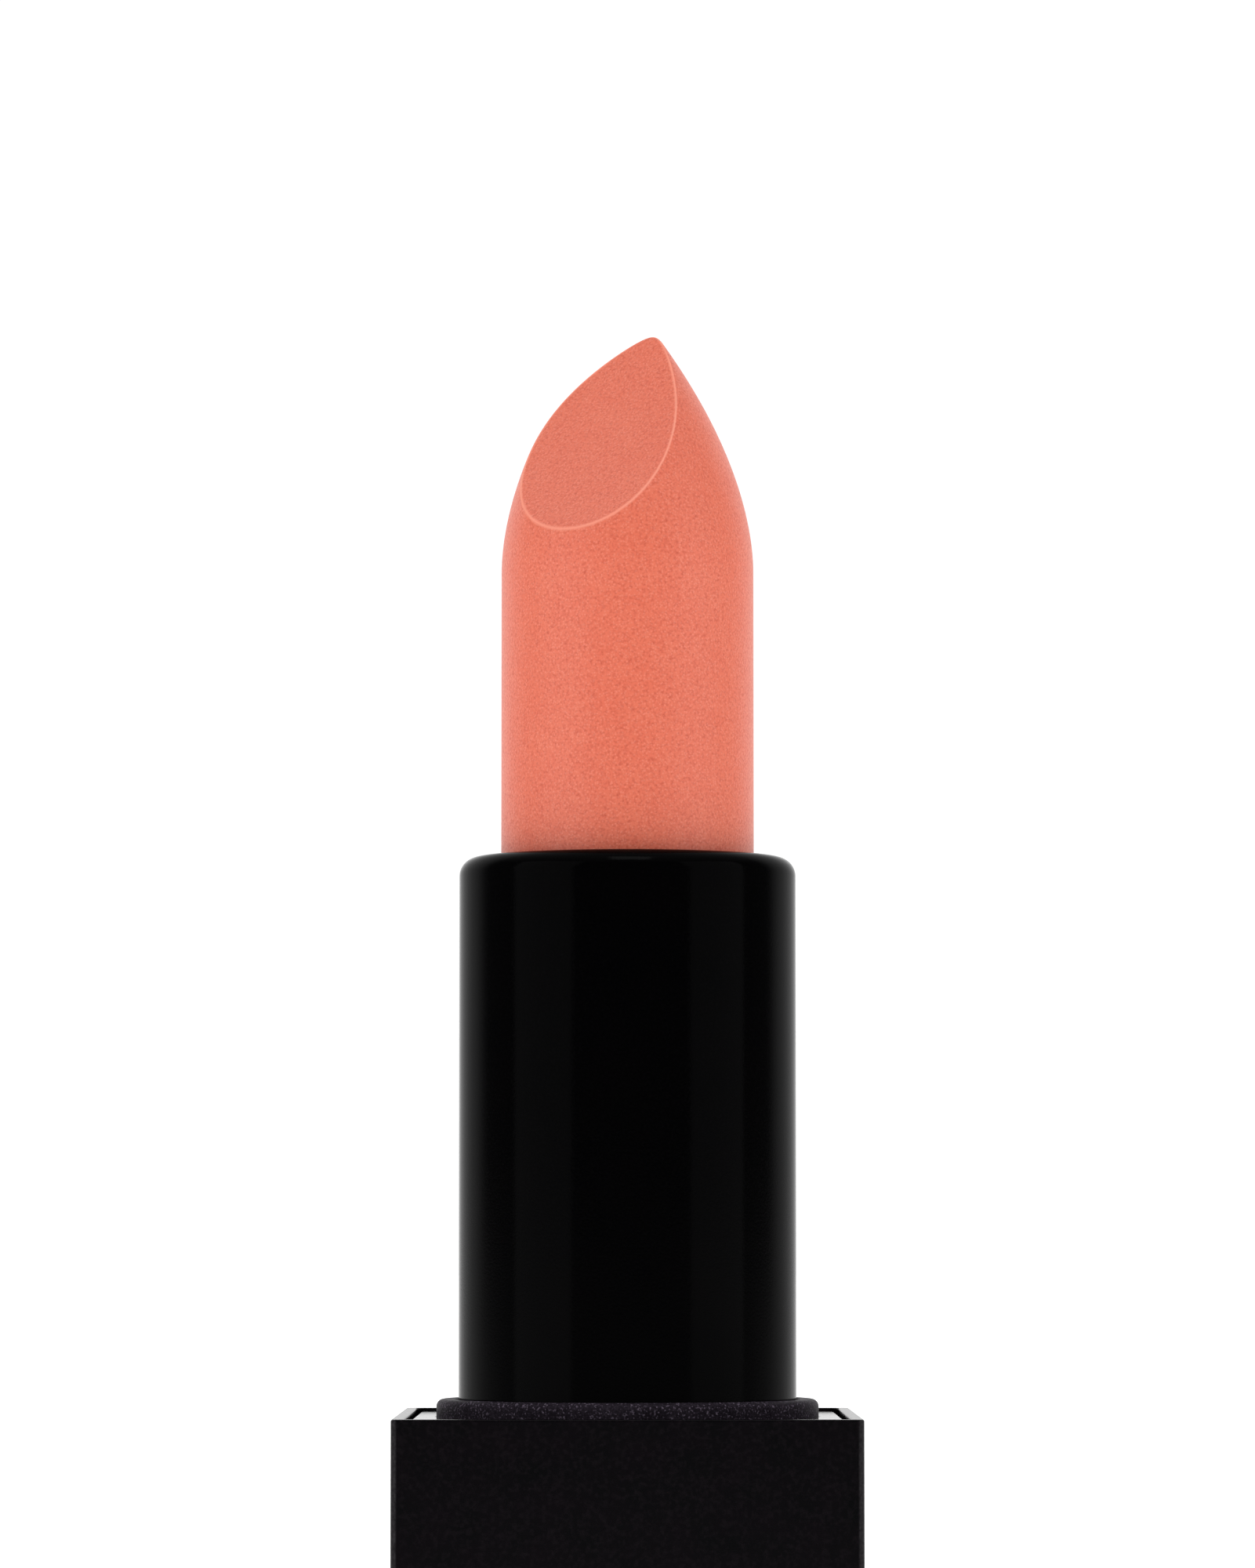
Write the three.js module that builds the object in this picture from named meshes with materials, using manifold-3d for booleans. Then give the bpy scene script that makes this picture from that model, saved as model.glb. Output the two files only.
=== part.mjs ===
// A twist-up lipstick case with its cap off: a square weighted base, a collar that the cap
// grips, a turning outer sleeve with a spiral cam inside it, and a cup that carries the bullet.
// Units are millimetres, +Z is up the case's axis, and the origin is under the middle of the base.

import * as THREE from 'three';
import { mergeVertices } from 'three/addons/utils/BufferGeometryUtils.js';
import Module from 'manifold-3d';

const wasm = await Module();
wasm.setup();

// ---- Driving dimensions -------------------------------------------------------------------

const BULLET_RADIUS = 6.05; // the common 12.1 mm bullet
const BASE_SIDE = 21.8;
const BASE_HEIGHT = 24;
const SLEEVE_RADIUS = 8.05;
const SLEEVE_TOP = 50.5;
const TIP_CONE_START = 64.27; // where the bullet starts to taper
const LEAD = 17.2; // rise of the spiral in one full turn
const TRAVEL_TURNS = 1.5;

const AROUND = 40; // sides of a turned piece
const CUT_MARGIN = 1; // how far a cutting shape reaches past what it cuts
const FIT = 0.05; // gap between pieces pressed or glued together

// Base: shell, plate, label and weight
const SHELL_WALL = 0.55;
const SHELL_CORNER = 0.35;
const SHELL_INNER_CORNER = 0.45;
const SHELL_EDGE = 0.1;
const SHELL_INNER_HALF = BASE_SIDE / 2 - SHELL_WALL;
const PLATE_THICKNESS = 1.2;
const PLATE_HALF = SHELL_INNER_HALF - 0.1;
const LABEL_RADIUS = 7.3;
const LABEL_THICKNESS = 0.18;
const LABEL_RECESS_DEPTH = 0.3;
const LABEL_RECESS_RADIUS = LABEL_RADIUS + 0.3;
const WEIGHT_RADIUS = 8.7;
const WEIGHT_HEIGHT = 4.4;
const WEIGHT_CHAMFER = 0.4;
const PLATE_RING_WALL = 0.7;
const PLATE_RING_HEIGHT = 3;

// Base: insert and collar
const INSERT_TOP = BASE_HEIGHT - 0.14;
const INSERT_BOTTOM = 6;
const INSERT_HALF = 10.1;
const INSERT_CORNER = 0.8;
const INSERT_EDGE = 0.12;
const INSERT_SKIRT = 1;
const INSERT_DECK = 2.1;
const BOSS_RADIUS = 9.6;
const BORE_RADIUS = SLEEVE_RADIUS + 0.2;
const BORE_FLOOR = 9.7;
const RIB_REACH = 0.18;
const RIB_WIDTH = 0.8;
const RIB_SPREAD = 5.5;
const RIB_LOW = 7;
const RIB_HIGH = 21;
const COLLAR_BOTTOM = 22.6;
const COLLAR_TOP = BASE_HEIGHT + 0.7;
const COLLAR_RADIUS = 9.1;
const COLLAR_BORE = SLEEVE_RADIUS + 0.15;
const COLLAR_ROUND = 0.75;

// Mechanism: inner body, spiral cam, friction ring and sleeve
const STEM_RADIUS = 5.6;
const STEM_BORE = 4.4;
const STEM_BOTTOM = 6.3;
const KEY_COUNT = 4;
const KEY_REACH = 6.4;
const KEY_WIDTH = 1.4;
const KEY_LOW = 7;
const KEY_GAP = 0.15;
const FLANGE_BOTTOM = 10;
const FLANGE_TOP = 11.4;
const FLANGE_RADIUS = 7.9;
const BODY_RADIUS = 7.05;
const BODY_BORE = 6.55;
const BODY_TOP = 49.6;
const BODY_VENT = 2.5;
const BEAD_BOTTOM = 46.5;
const BEAD_HEIGHT = 0.4;
const BEAD_REACH = 0.2;
const RING_SEAT_BOTTOM = 47;
const RING_SEAT_TOP = 48.1;
const RING_SEAT_RADIUS = 6.85;
const LUG_RADIUS = 0.9;
const LUG_REACH = 7.38;
const LUG_LEVEL = 39.4; // height of the lugs with the bullet fully up
const SLOT_WIDTH = 2.1;
const SLOT_BOTTOM = 12.5;
const SLOT_TOP = 40.5;
const CAM_BORE = 7.1;
const CAM_RADIUS = 7.72;
const CAM_BOTTOM = 11.8;
const CAM_TOP = 46.3;
const GROOVE_RADIUS = 7.5;
const GROOVE_WIDTH = 2.15;
const GROOVE_TURNS = TRAVEL_TURNS + 0.2; // runs out at the foot of the cam, where the lugs go in
const GROOVE_STEPS_PER_TURN = 36;
const RING_RADIUS = 7.7;
const SLEEVE_BOTTOM = 11.6;
const SLEEVE_BORE = CAM_RADIUS + FIT;
const SLEEVE_ROUND = 0.9;
const SLEEVE_LIP = 0.3;
const SLEEVE_MOUTH = 6.75;

// Cup and bullet
const CUP_RADIUS = 6.45;
const CUP_BORE = BULLET_RADIUS + FIT;
const CUP_BOTTOM = 38.2;
const CUP_TOP = SLEEVE_TOP - 0.3;
const CUP_SKIRT_BORE = 5.9;
const CUP_SKIRT = 2;
const CUP_FLOOR = 1;
const CUP_VENT = 1;
const CUP_EDGE = 0.1;
const GRIP_COUNT = 8;
const GRIP_WIDTH = 0.5;
const GRIP_REACH = 0.25;
const GRIP_HEIGHT = 5.8;
const GRIP_GAP = 0.2;
const BULLET_CHAMFER = 0.3;
const TAPER_SCALE = 0.0577; // radius lost per millimetre above the start of the taper ...
const TAPER_POWER = 1.8; // ... raised to this power
const TAPER_STEPS = 20;
const UNCUT_TIP = 76.08; // height where the taper would end in a point
const LEAN_START = 69.99; // where the tip starts to lean towards +X
const LEAN_SCALE = 0.00503; // lean per cubed millimetre above that height
const SLANT_AZIMUTH = 32; // degrees that the slanted face turns from the front towards -X
const SLANT_TILT = 30.1; // degrees that the slanted face looks up
const SLANT_ON_AXIS = 74.085; // height at which the slanted face crosses the axis
const SLANT_HOLLOW = 50.6; // radius of the shallow hollow that the slanted face is cut to
const SLANT_HOLLOW_TURN = 78; // degrees from straight down the slope to the line of the hollow
const SLANT_CUTTER_SIDES = 120;

// ---- Helpers ------------------------------------------------------------------------------

const degrees = THREE.MathUtils.degToRad;

// A closed three.js geometry as a solid that can be joined and cut.
function solid(geometry) {
  const bare = geometry.clone();
  bare.deleteAttribute('normal');
  bare.deleteAttribute('uv');
  const merged = mergeVertices(bare);
  const corners = merged.index.array;
  const kept = [];
  for (let i = 0; i < corners.length; i += 3) {
    const [a, b, c] = [corners[i], corners[i + 1], corners[i + 2]];
    if (a !== b && b !== c && c !== a) {
      kept.push(a, b, c);
    }
  }
  const vertProperties = new Float32Array(merged.attributes.position.array);
  return new wasm.Manifold(new wasm.Mesh({ numProp: 3, vertProperties, triVerts: new Uint32Array(kept) }));
}

// A solid as a three.js geometry.
function geometryOf(body) {
  const { vertProperties, triVerts } = body.getMesh();
  const geometry = new THREE.BufferGeometry();
  geometry.setAttribute('position', new THREE.BufferAttribute(vertProperties, 3));
  geometry.setIndex(new THREE.BufferAttribute(triVerts, 1));
  geometry.computeVertexNormals();
  return geometry;
}

// A piece turned about +Z. The outline is [radius, height] pairs, up the outside and down the inside.
function turned(outline, sides = AROUND) {
  const points = outline.map(([radius, height]) => new THREE.Vector2(radius, height));
  return solid(new THREE.LatheGeometry(points, sides).rotateX(Math.PI / 2));
}

// A turned tube: its outline goes round its wall once and closes on itself.
function tube(bore, radius, bottom, top) {
  return turned([[bore, bottom], [radius, bottom], [radius, top], [bore, top], [bore, bottom]]);
}

// Points of a quarter or other arc, as [radius, height] pairs, from one angle to another.
function arc(centreRadius, centreHeight, round, fromDegrees, toDegrees, steps) {
  const points = [];
  for (let i = 0; i <= steps; i += 1) {
    const angle = degrees(fromDegrees + ((toDegrees - fromDegrees) * i) / steps);
    points.push([centreRadius + round * Math.cos(angle), centreHeight + round * Math.sin(angle)]);
  }
  return points;
}

// A square outline with rounded corners, as a Shape or, for a hole, a Path.
function roundedSquare(half, corner, Outline = THREE.Shape) {
  const straight = half - corner;
  const outline = new Outline();
  outline.absarc(straight, straight, corner, 0, Math.PI / 2);
  outline.absarc(-straight, straight, corner, Math.PI / 2, Math.PI);
  outline.absarc(-straight, -straight, corner, Math.PI, Math.PI * 1.5);
  outline.absarc(straight, -straight, corner, Math.PI * 1.5, Math.PI * 2);
  return outline;
}

// An upright square prism with rounded corners and, if an edge is given, chamfered rims.
function squareBlock(half, corner, bottom, top, edge = 0, hole = null) {
  const shape = roundedSquare(half, corner);
  if (hole) {
    shape.holes.push(hole);
  }
  const geometry = new THREE.ExtrudeGeometry(shape, {
    depth: top - bottom - 2 * edge,
    curveSegments: 4,
    bevelEnabled: edge > 0,
    bevelThickness: edge,
    bevelSize: edge,
    bevelOffset: -edge,
    bevelSegments: 1,
  });
  return solid(geometry.translate(0, 0, bottom + edge));
}

// A box from its middle in x and y, its size, and its lowest and highest points.
function block(x, y, width, depth, bottom, top) {
  const geometry = new THREE.BoxGeometry(width, depth, top - bottom);
  return solid(geometry.translate(x, y, (bottom + top) / 2));
}

// Boxes standing on a circle: each spans inner to outer radius, and they share the circle evenly.
function spokes(count, width, inner, outer, bottom, top) {
  const boxes = [];
  for (let i = 0; i < count; i += 1) {
    const geometry = new THREE.BoxGeometry(outer - inner, width, top - bottom);
    geometry.translate((inner + outer) / 2, 0, (bottom + top) / 2);
    geometry.rotateZ(((i + 0.5) * 2 * Math.PI) / count);
    boxes.push(solid(geometry));
  }
  return boxes;
}

function joined(body, pieces) {
  return pieces.reduce((sum, piece) => sum.add(piece), body);
}

function cutBy(body, pieces) {
  return pieces.reduce((rest, piece) => rest.subtract(piece), body);
}

// A helix about +Z whose frames keep one side of the swept section facing straight out.
class Helix extends THREE.Curve {
  constructor(radius, lead, startAngle, startHeight, turns) {
    super();
    Object.assign(this, { radius, lead, startAngle, startHeight, turns });
  }

  getPoint(t, target = new THREE.Vector3()) {
    const angle = this.startAngle + t * this.turns * 2 * Math.PI;
    const height = this.startHeight + t * this.turns * this.lead;
    return target.set(this.radius * Math.cos(angle), this.radius * Math.sin(angle), height);
  }

  computeFrenetFrames(segments) {
    const frames = { tangents: [], normals: [], binormals: [] };
    for (let i = 0; i <= segments; i += 1) {
      const angle = this.startAngle + (i / segments) * this.turns * 2 * Math.PI;
      const outward = new THREE.Vector3(Math.cos(angle), Math.sin(angle), 0);
      const along = new THREE.Vector3(-Math.sin(angle), Math.cos(angle), 0);
      along.multiplyScalar(this.radius).setZ(this.lead / (2 * Math.PI)).normalize();
      frames.tangents.push(along);
      frames.normals.push(outward);
      frames.binormals.push(new THREE.Vector3().crossVectors(along, outward));
    }
    return frames;
  }
}

// A round peg pointing out from the axis, along +X or -X.
function peg(side, radius, inner, outer, level) {
  const geometry = new THREE.CylinderGeometry(radius, radius, outer - inner, 20).rotateZ(Math.PI / 2);
  return solid(geometry.translate((side * (inner + outer)) / 2, 0, level));
}

// ---- Base ---------------------------------------------------------------------------------

function baseShell() {
  const hole = roundedSquare(SHELL_INNER_HALF, SHELL_INNER_CORNER, THREE.Path);
  return squareBlock(BASE_SIDE / 2, SHELL_CORNER, 0, BASE_HEIGHT, SHELL_EDGE, hole);
}

function bottomPlate() {
  const plate = squareBlock(PLATE_HALF, SHELL_INNER_CORNER, 0, PLATE_THICKNESS);
  const ringBore = WEIGHT_RADIUS + 2 * FIT;
  const ringTop = PLATE_THICKNESS + PLATE_RING_HEIGHT;
  const ring = tube(ringBore, ringBore + PLATE_RING_WALL, PLATE_THICKNESS - FIT, ringTop);
  const recess = turned([
    [0, -CUT_MARGIN],
    [LABEL_RECESS_RADIUS, -CUT_MARGIN],
    [LABEL_RECESS_RADIUS, LABEL_RECESS_DEPTH],
    [0, LABEL_RECESS_DEPTH],
  ]);
  return plate.add(ring).subtract(recess);
}

function shadeLabel() {
  return turned([[0, 0], [LABEL_RADIUS, 0], [LABEL_RADIUS, LABEL_THICKNESS], [0, LABEL_THICKNESS]]);
}

function baseWeight() {
  return turned([
    [0, 0],
    [WEIGHT_RADIUS - WEIGHT_CHAMFER, 0],
    [WEIGHT_RADIUS, WEIGHT_CHAMFER],
    [WEIGHT_RADIUS, WEIGHT_HEIGHT - WEIGHT_CHAMFER],
    [WEIGHT_RADIUS - WEIGHT_CHAMFER, WEIGHT_HEIGHT],
    [0, WEIGHT_HEIGHT],
  ]);
}

// The moulded block that holds the mechanism: a deck, a skirt, and a boss with a stepped bore.
function baseInsert() {
  const outside = squareBlock(INSERT_HALF, INSERT_CORNER, INSERT_BOTTOM, INSERT_TOP, INSERT_EDGE);
  const below = INSERT_BOTTOM - CUT_MARGIN;
  const above = INSERT_TOP + CUT_MARGIN;
  const socket = STEM_RADIUS + 2 * KEY_GAP;
  const collarSeat = COLLAR_BOTTOM - FIT;
  const bore = turned([
    [0, below],
    [socket, below],
    [socket, BORE_FLOOR],
    [BORE_RADIUS, BORE_FLOOR],
    [BORE_RADIUS, collarSeat],
    [COLLAR_RADIUS + FIT, collarSeat],
    [COLLAR_RADIUS + FIT, above],
    [0, above],
  ]);
  const keyWays = spokes(KEY_COUNT, KEY_WIDTH + 2 * KEY_GAP, socket / 2, KEY_REACH + KEY_GAP, below, BORE_FLOOR + FIT);
  const skirtHalf = INSERT_HALF - INSERT_SKIRT;
  const core = squareBlock(skirtHalf, INSERT_CORNER, below, INSERT_TOP - INSERT_DECK);
  const boss = turned([[0, below - 1], [BOSS_RADIUS, below - 1], [BOSS_RADIUS, above], [0, above]]);
  const cornerPockets = core.subtract(boss);
  return joined(cutBy(outside, [bore, cornerPockets, ...keyWays]), pressRibs());
}

// Two upright ribs on each side of the insert, which wedge it in the shell.
function pressRibs() {
  const ribs = [];
  for (const side of [-1, 1]) {
    for (const place of [-RIB_SPREAD, RIB_SPREAD]) {
      const out = side * (INSERT_HALF + RIB_REACH / 2 - FIT / 2);
      const thickness = RIB_REACH + FIT;
      ribs.push(block(out, place, thickness, RIB_WIDTH, RIB_LOW, RIB_HIGH));
      ribs.push(block(place, out, RIB_WIDTH, thickness, RIB_LOW, RIB_HIGH));
    }
  }
  return ribs;
}

function collarRing() {
  const rounded = arc(COLLAR_RADIUS - COLLAR_ROUND, COLLAR_TOP - COLLAR_ROUND, COLLAR_ROUND, 0, 90, 5);
  return turned([
    [COLLAR_BORE, COLLAR_BOTTOM],
    [COLLAR_RADIUS, COLLAR_BOTTOM],
    ...rounded,
    [COLLAR_BORE, COLLAR_TOP],
    [COLLAR_BORE, COLLAR_BOTTOM],
  ]);
}

// ---- Mechanism ----------------------------------------------------------------------------

// The fixed tube inside the case, with a keyed stem below and two straight slots for the lugs.
function innerBody() {
  const beadTop = BEAD_BOTTOM + BEAD_HEIGHT;
  const body = turned([
    [STEM_BORE, STEM_BOTTOM],
    [STEM_RADIUS, STEM_BOTTOM],
    [STEM_RADIUS, FLANGE_BOTTOM],
    [FLANGE_RADIUS, FLANGE_BOTTOM],
    [FLANGE_RADIUS, FLANGE_TOP],
    [BODY_RADIUS, FLANGE_TOP],
    [BODY_RADIUS, BEAD_BOTTOM],
    [BODY_RADIUS + BEAD_REACH, BEAD_BOTTOM + BEAD_HEIGHT / 4],
    [BODY_RADIUS + BEAD_REACH, beadTop - BEAD_HEIGHT / 4],
    [BODY_RADIUS, beadTop],
    [BODY_RADIUS, RING_SEAT_BOTTOM],
    [RING_SEAT_RADIUS, RING_SEAT_BOTTOM],
    [RING_SEAT_RADIUS, RING_SEAT_TOP],
    [BODY_RADIUS, RING_SEAT_TOP],
    [BODY_RADIUS, BODY_TOP - CUP_EDGE],
    [BODY_RADIUS - CUP_EDGE, BODY_TOP],
    [BODY_BORE + CUP_EDGE, BODY_TOP],
    [BODY_BORE, BODY_TOP - CUP_EDGE],
    [BODY_BORE, FLANGE_TOP],
    [BODY_VENT, FLANGE_TOP],
    [BODY_VENT, FLANGE_BOTTOM],
    [STEM_BORE, FLANGE_BOTTOM],
    [STEM_BORE, STEM_BOTTOM],
  ]);
  const keyInner = (STEM_BORE + STEM_RADIUS) / 2;
  const keys = spokes(KEY_COUNT, KEY_WIDTH, keyInner, KEY_REACH, KEY_LOW, FLANGE_BOTTOM + FIT);
  return joined(body, keys).subtract(lugSlots());
}

// One long round-ended cutter along X that opens both lug slots at once.
function lugSlots() {
  const round = SLOT_WIDTH / 2;
  const outline = new THREE.Shape();
  outline.absarc(0, SLOT_TOP - round, round, 0, Math.PI);
  outline.absarc(0, SLOT_BOTTOM + round, round, Math.PI, 2 * Math.PI);
  const length = 2 * (BODY_RADIUS + CUT_MARGIN);
  const geometry = new THREE.ExtrudeGeometry(outline, { depth: length, curveSegments: 8, bevelEnabled: false });
  geometry.translate(0, 0, -length / 2);
  return solid(geometry.rotateX(Math.PI / 2).rotateZ(Math.PI / 2));
}

// The tube fixed inside the sleeve, with one spiral groove for each lug.
function spiralCam() {
  const grooves = [];
  for (const [side, angle] of [[1, 0], [-1, Math.PI]]) {
    grooves.push(spiralGroove(angle));
    grooves.push(peg(side, GROOVE_WIDTH / 2, BODY_BORE, GROOVE_RADIUS, LUG_LEVEL));
  }
  return cutBy(tube(CAM_BORE, CAM_RADIUS, CAM_BOTTOM, CAM_TOP), grooves);
}

// The cutter for one groove: a flat band swept down the spiral from the lug's highest place.
function spiralGroove(topAngle) {
  const inner = BODY_RADIUS - 0.3;
  const half = GROOVE_WIDTH / 2;
  const section = new THREE.Shape();
  section.moveTo(inner - CAM_BORE, -half);
  section.lineTo(GROOVE_RADIUS - CAM_BORE, -half);
  section.lineTo(GROOVE_RADIUS - CAM_BORE, half);
  section.lineTo(inner - CAM_BORE, half);
  section.closePath();
  const startAngle = topAngle - GROOVE_TURNS * 2 * Math.PI;
  const startHeight = LUG_LEVEL - GROOVE_TURNS * LEAD;
  const path = new Helix(CAM_BORE, LEAD, startAngle, startHeight, GROOVE_TURNS);
  const steps = Math.round(GROOVE_TURNS * GROOVE_STEPS_PER_TURN);
  return solid(new THREE.ExtrudeGeometry(section, { steps, extrudePath: path, bevelEnabled: false }));
}

// The soft ring on the inner body that drags on the sleeve and gives the twist its feel.
function frictionRing() {
  const inner = RING_SEAT_RADIUS + FIT;
  const bottom = RING_SEAT_BOTTOM + FIT;
  const top = RING_SEAT_TOP - FIT;
  const round = 0.25;
  return turned([
    [inner, bottom],
    ...arc(RING_RADIUS - round, bottom + round, round, -90, 0, 3),
    ...arc(RING_RADIUS - round, top - round, round, 0, 90, 3),
    [inner, top],
    [inner, bottom],
  ]);
}

// The thin metal sleeve that is turned by hand, with its mouth rolled in over the mechanism.
function outerSleeve() {
  const innerRound = SLEEVE_BORE - (SLEEVE_RADIUS - SLEEVE_ROUND);
  const lipBottom = SLEEVE_TOP - SLEEVE_LIP;
  return turned([
    [SLEEVE_BORE, SLEEVE_BOTTOM],
    [SLEEVE_RADIUS, SLEEVE_BOTTOM],
    ...arc(SLEEVE_RADIUS - SLEEVE_ROUND, SLEEVE_TOP - SLEEVE_ROUND, SLEEVE_ROUND, 0, 90, 6),
    [SLEEVE_MOUTH, SLEEVE_TOP],
    [SLEEVE_MOUTH, lipBottom],
    ...arc(SLEEVE_BORE - innerRound, lipBottom - innerRound, innerRound, 90, 0, 5),
    [SLEEVE_BORE, SLEEVE_BOTTOM],
  ]);
}

// ---- Cup and bullet -----------------------------------------------------------------------

// The cup that holds the bullet. Its grips bite the bullet, and its lugs ride the slots and grooves.
function bulletCup() {
  const floorBottom = CUP_BOTTOM + CUP_SKIRT;
  const floorTop = floorBottom + CUP_FLOOR;
  const cup = turned([
    [CUP_SKIRT_BORE, CUP_BOTTOM],
    [CUP_RADIUS, CUP_BOTTOM],
    [CUP_RADIUS, CUP_TOP - CUP_EDGE],
    [CUP_RADIUS - CUP_EDGE, CUP_TOP],
    [CUP_BORE + CUP_EDGE, CUP_TOP],
    [CUP_BORE, CUP_TOP - CUP_EDGE],
    [CUP_BORE, floorTop],
    [CUP_VENT, floorTop],
    [CUP_VENT, floorBottom],
    [CUP_SKIRT_BORE, floorBottom],
    [CUP_SKIRT_BORE, CUP_BOTTOM],
  ]);
  const gripInner = CUP_BORE - GRIP_REACH;
  const gripTop = floorTop + GRIP_HEIGHT;
  const grips = spokes(GRIP_COUNT, GRIP_WIDTH, gripInner, CUP_BORE + 0.1, floorTop - FIT, gripTop);
  const lugInner = (CUP_SKIRT_BORE + CUP_RADIUS) / 2;
  const lugs = [-1, 1].map((side) => peg(side, LUG_RADIUS, lugInner, LUG_REACH, LUG_LEVEL));
  return joined(cup, [...grips, ...lugs]);
}

// How far the tip leans towards +X at a height.
function tipLean(height) {
  return LEAN_SCALE * Math.max(height - LEAN_START, 0) ** 3;
}

// Radius of the uncut bullet at a height: straight, then a pointed arch that narrows as it leans.
function bulletRadius(height) {
  const above = Math.max(height - TIP_CONE_START, 0);
  return BULLET_RADIUS - TAPER_SCALE * above ** TAPER_POWER - tipLean(height);
}

function lipstickBullet() {
  const bottom = CUP_BOTTOM + CUP_SKIRT + CUP_FLOOR + FIT;
  const taperLength = UNCUT_TIP - TIP_CONE_START;
  const outline = [[0, bottom], [BULLET_RADIUS - BULLET_CHAMFER, bottom], [BULLET_RADIUS, bottom + BULLET_CHAMFER]];
  for (let i = 0; i < TAPER_STEPS; i += 1) {
    const height = TIP_CONE_START + (taperLength * i) / TAPER_STEPS;
    outline.push([bulletRadius(height), height]);
  }
  outline.push([0, UNCUT_TIP]);
  const notchInner = CUP_BORE - GRIP_REACH - GRIP_GAP;
  const notchWidth = GRIP_WIDTH + 2 * GRIP_GAP;
  const notchTop = bottom + GRIP_HEIGHT + GRIP_GAP;
  const notches = spokes(GRIP_COUNT, notchWidth, notchInner, BULLET_RADIUS + 1, bottom - CUT_MARGIN, notchTop);
  const body = turned(outline).warp((corner) => {
    corner[0] += tipLean(corner[2]);
  });
  return cutBy(body, [slantCutter(), ...notches]);
}

// A big cylinder that lies across the tip, so that its side scoops out the slanted face.
function slantCutter() {
  const azimuth = degrees(SLANT_AZIMUTH);
  const tilt = degrees(SLANT_TILT);
  const facing = new THREE.Vector3(-Math.sin(azimuth), -Math.cos(azimuth), 0);
  facing.multiplyScalar(Math.cos(tilt)).setZ(Math.sin(tilt));
  const downhill = new THREE.Vector3(-Math.sin(azimuth), -Math.cos(azimuth), 0);
  downhill.multiplyScalar(Math.sin(tilt)).setZ(-Math.cos(tilt));
  const line = downhill.applyAxisAngle(facing, degrees(SLANT_HOLLOW_TURN));
  const across = new THREE.Vector3().crossVectors(facing, line);
  const length = 60;
  const geometry = new THREE.CylinderGeometry(SLANT_HOLLOW, SLANT_HOLLOW, length, SLANT_CUTTER_SIDES);
  geometry.applyMatrix4(new THREE.Matrix4().makeBasis(facing, line, across));
  const middle = facing.clone().multiplyScalar(SLANT_HOLLOW);
  return solid(geometry.translate(middle.x, middle.y, middle.z + SLANT_ON_AXIS));
}

// ---- Assembly -----------------------------------------------------------------------------

const finishes = {
  satinBlack: { color: 0x161315, roughness: 0.42, metalness: 0 },
  matteBlack: { color: 0x242224, roughness: 0.85, metalness: 0 },
  glossBlack: { color: 0x070606, roughness: 0.08, metalness: 0 },
  mouldedBlack: { color: 0x1a1819, roughness: 0.5, metalness: 0 },
  steel: { color: 0x9a9a98, roughness: 0.4, metalness: 1 },
  naturalPlastic: { color: 0xd9d6cf, roughness: 0.5, metalness: 0 },
  silicone: { color: 0x8d8c8a, roughness: 0.8, metalness: 0 },
  labelPaper: { color: 0xf0eeea, roughness: 0.7, metalness: 0 },
  coralBullet: { color: 0xe4785f, roughness: 0.45, metalness: 0 },
};

function piece(name, body, finish, height = 0) {
  const material = new THREE.MeshStandardMaterial(finishes[finish]);
  const mesh = new THREE.Mesh(geometryOf(body), material);
  mesh.name = name;
  mesh.position.z = height;
  return mesh;
}

const base = new THREE.Group();
base.add(
  piece('base_shell', baseShell(), 'satinBlack'),
  piece('bottom_plate', bottomPlate(), 'mouldedBlack'),
  piece('shade_label', shadeLabel(), 'labelPaper', LABEL_RECESS_DEPTH - LABEL_THICKNESS - FIT / 2),
  piece('base_weight', baseWeight(), 'steel', PLATE_THICKNESS + FIT),
  piece('base_insert', baseInsert(), 'mouldedBlack'),
  piece('collar_ring', collarRing(), 'matteBlack'),
  piece('inner_body', innerBody(), 'naturalPlastic'),
  piece('friction_ring', frictionRing(), 'silicone'),
);

const sleeve = new THREE.Group();
sleeve.add(
  piece('outer_sleeve', outerSleeve(), 'glossBlack'),
  piece('spiral_cam', spiralCam(), 'naturalPlastic'),
);

const lift = new THREE.Group();
lift.add(
  piece('bullet_cup', bulletCup(), 'mouldedBlack'),
  piece('lipstick_bullet', lipstickBullet(), 'coralBullet'),
);

const lipstickCase = new THREE.Group();
lipstickCase.add(base, sleeve, lift);

export default lipstickCase;
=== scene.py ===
"""A twist-up lipstick case, cap off: fine meshes, finishes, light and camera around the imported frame.

Everything is in metres with +Z up the case's axis. The front of the case faces -Y.
"""

from __future__ import annotations

import logging
import math
from collections.abc import Callable, Iterable, Sequence
from dataclasses import dataclass, field
from enum import Enum

import bmesh
import bpy
from mathutils import Matrix, Vector


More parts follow.
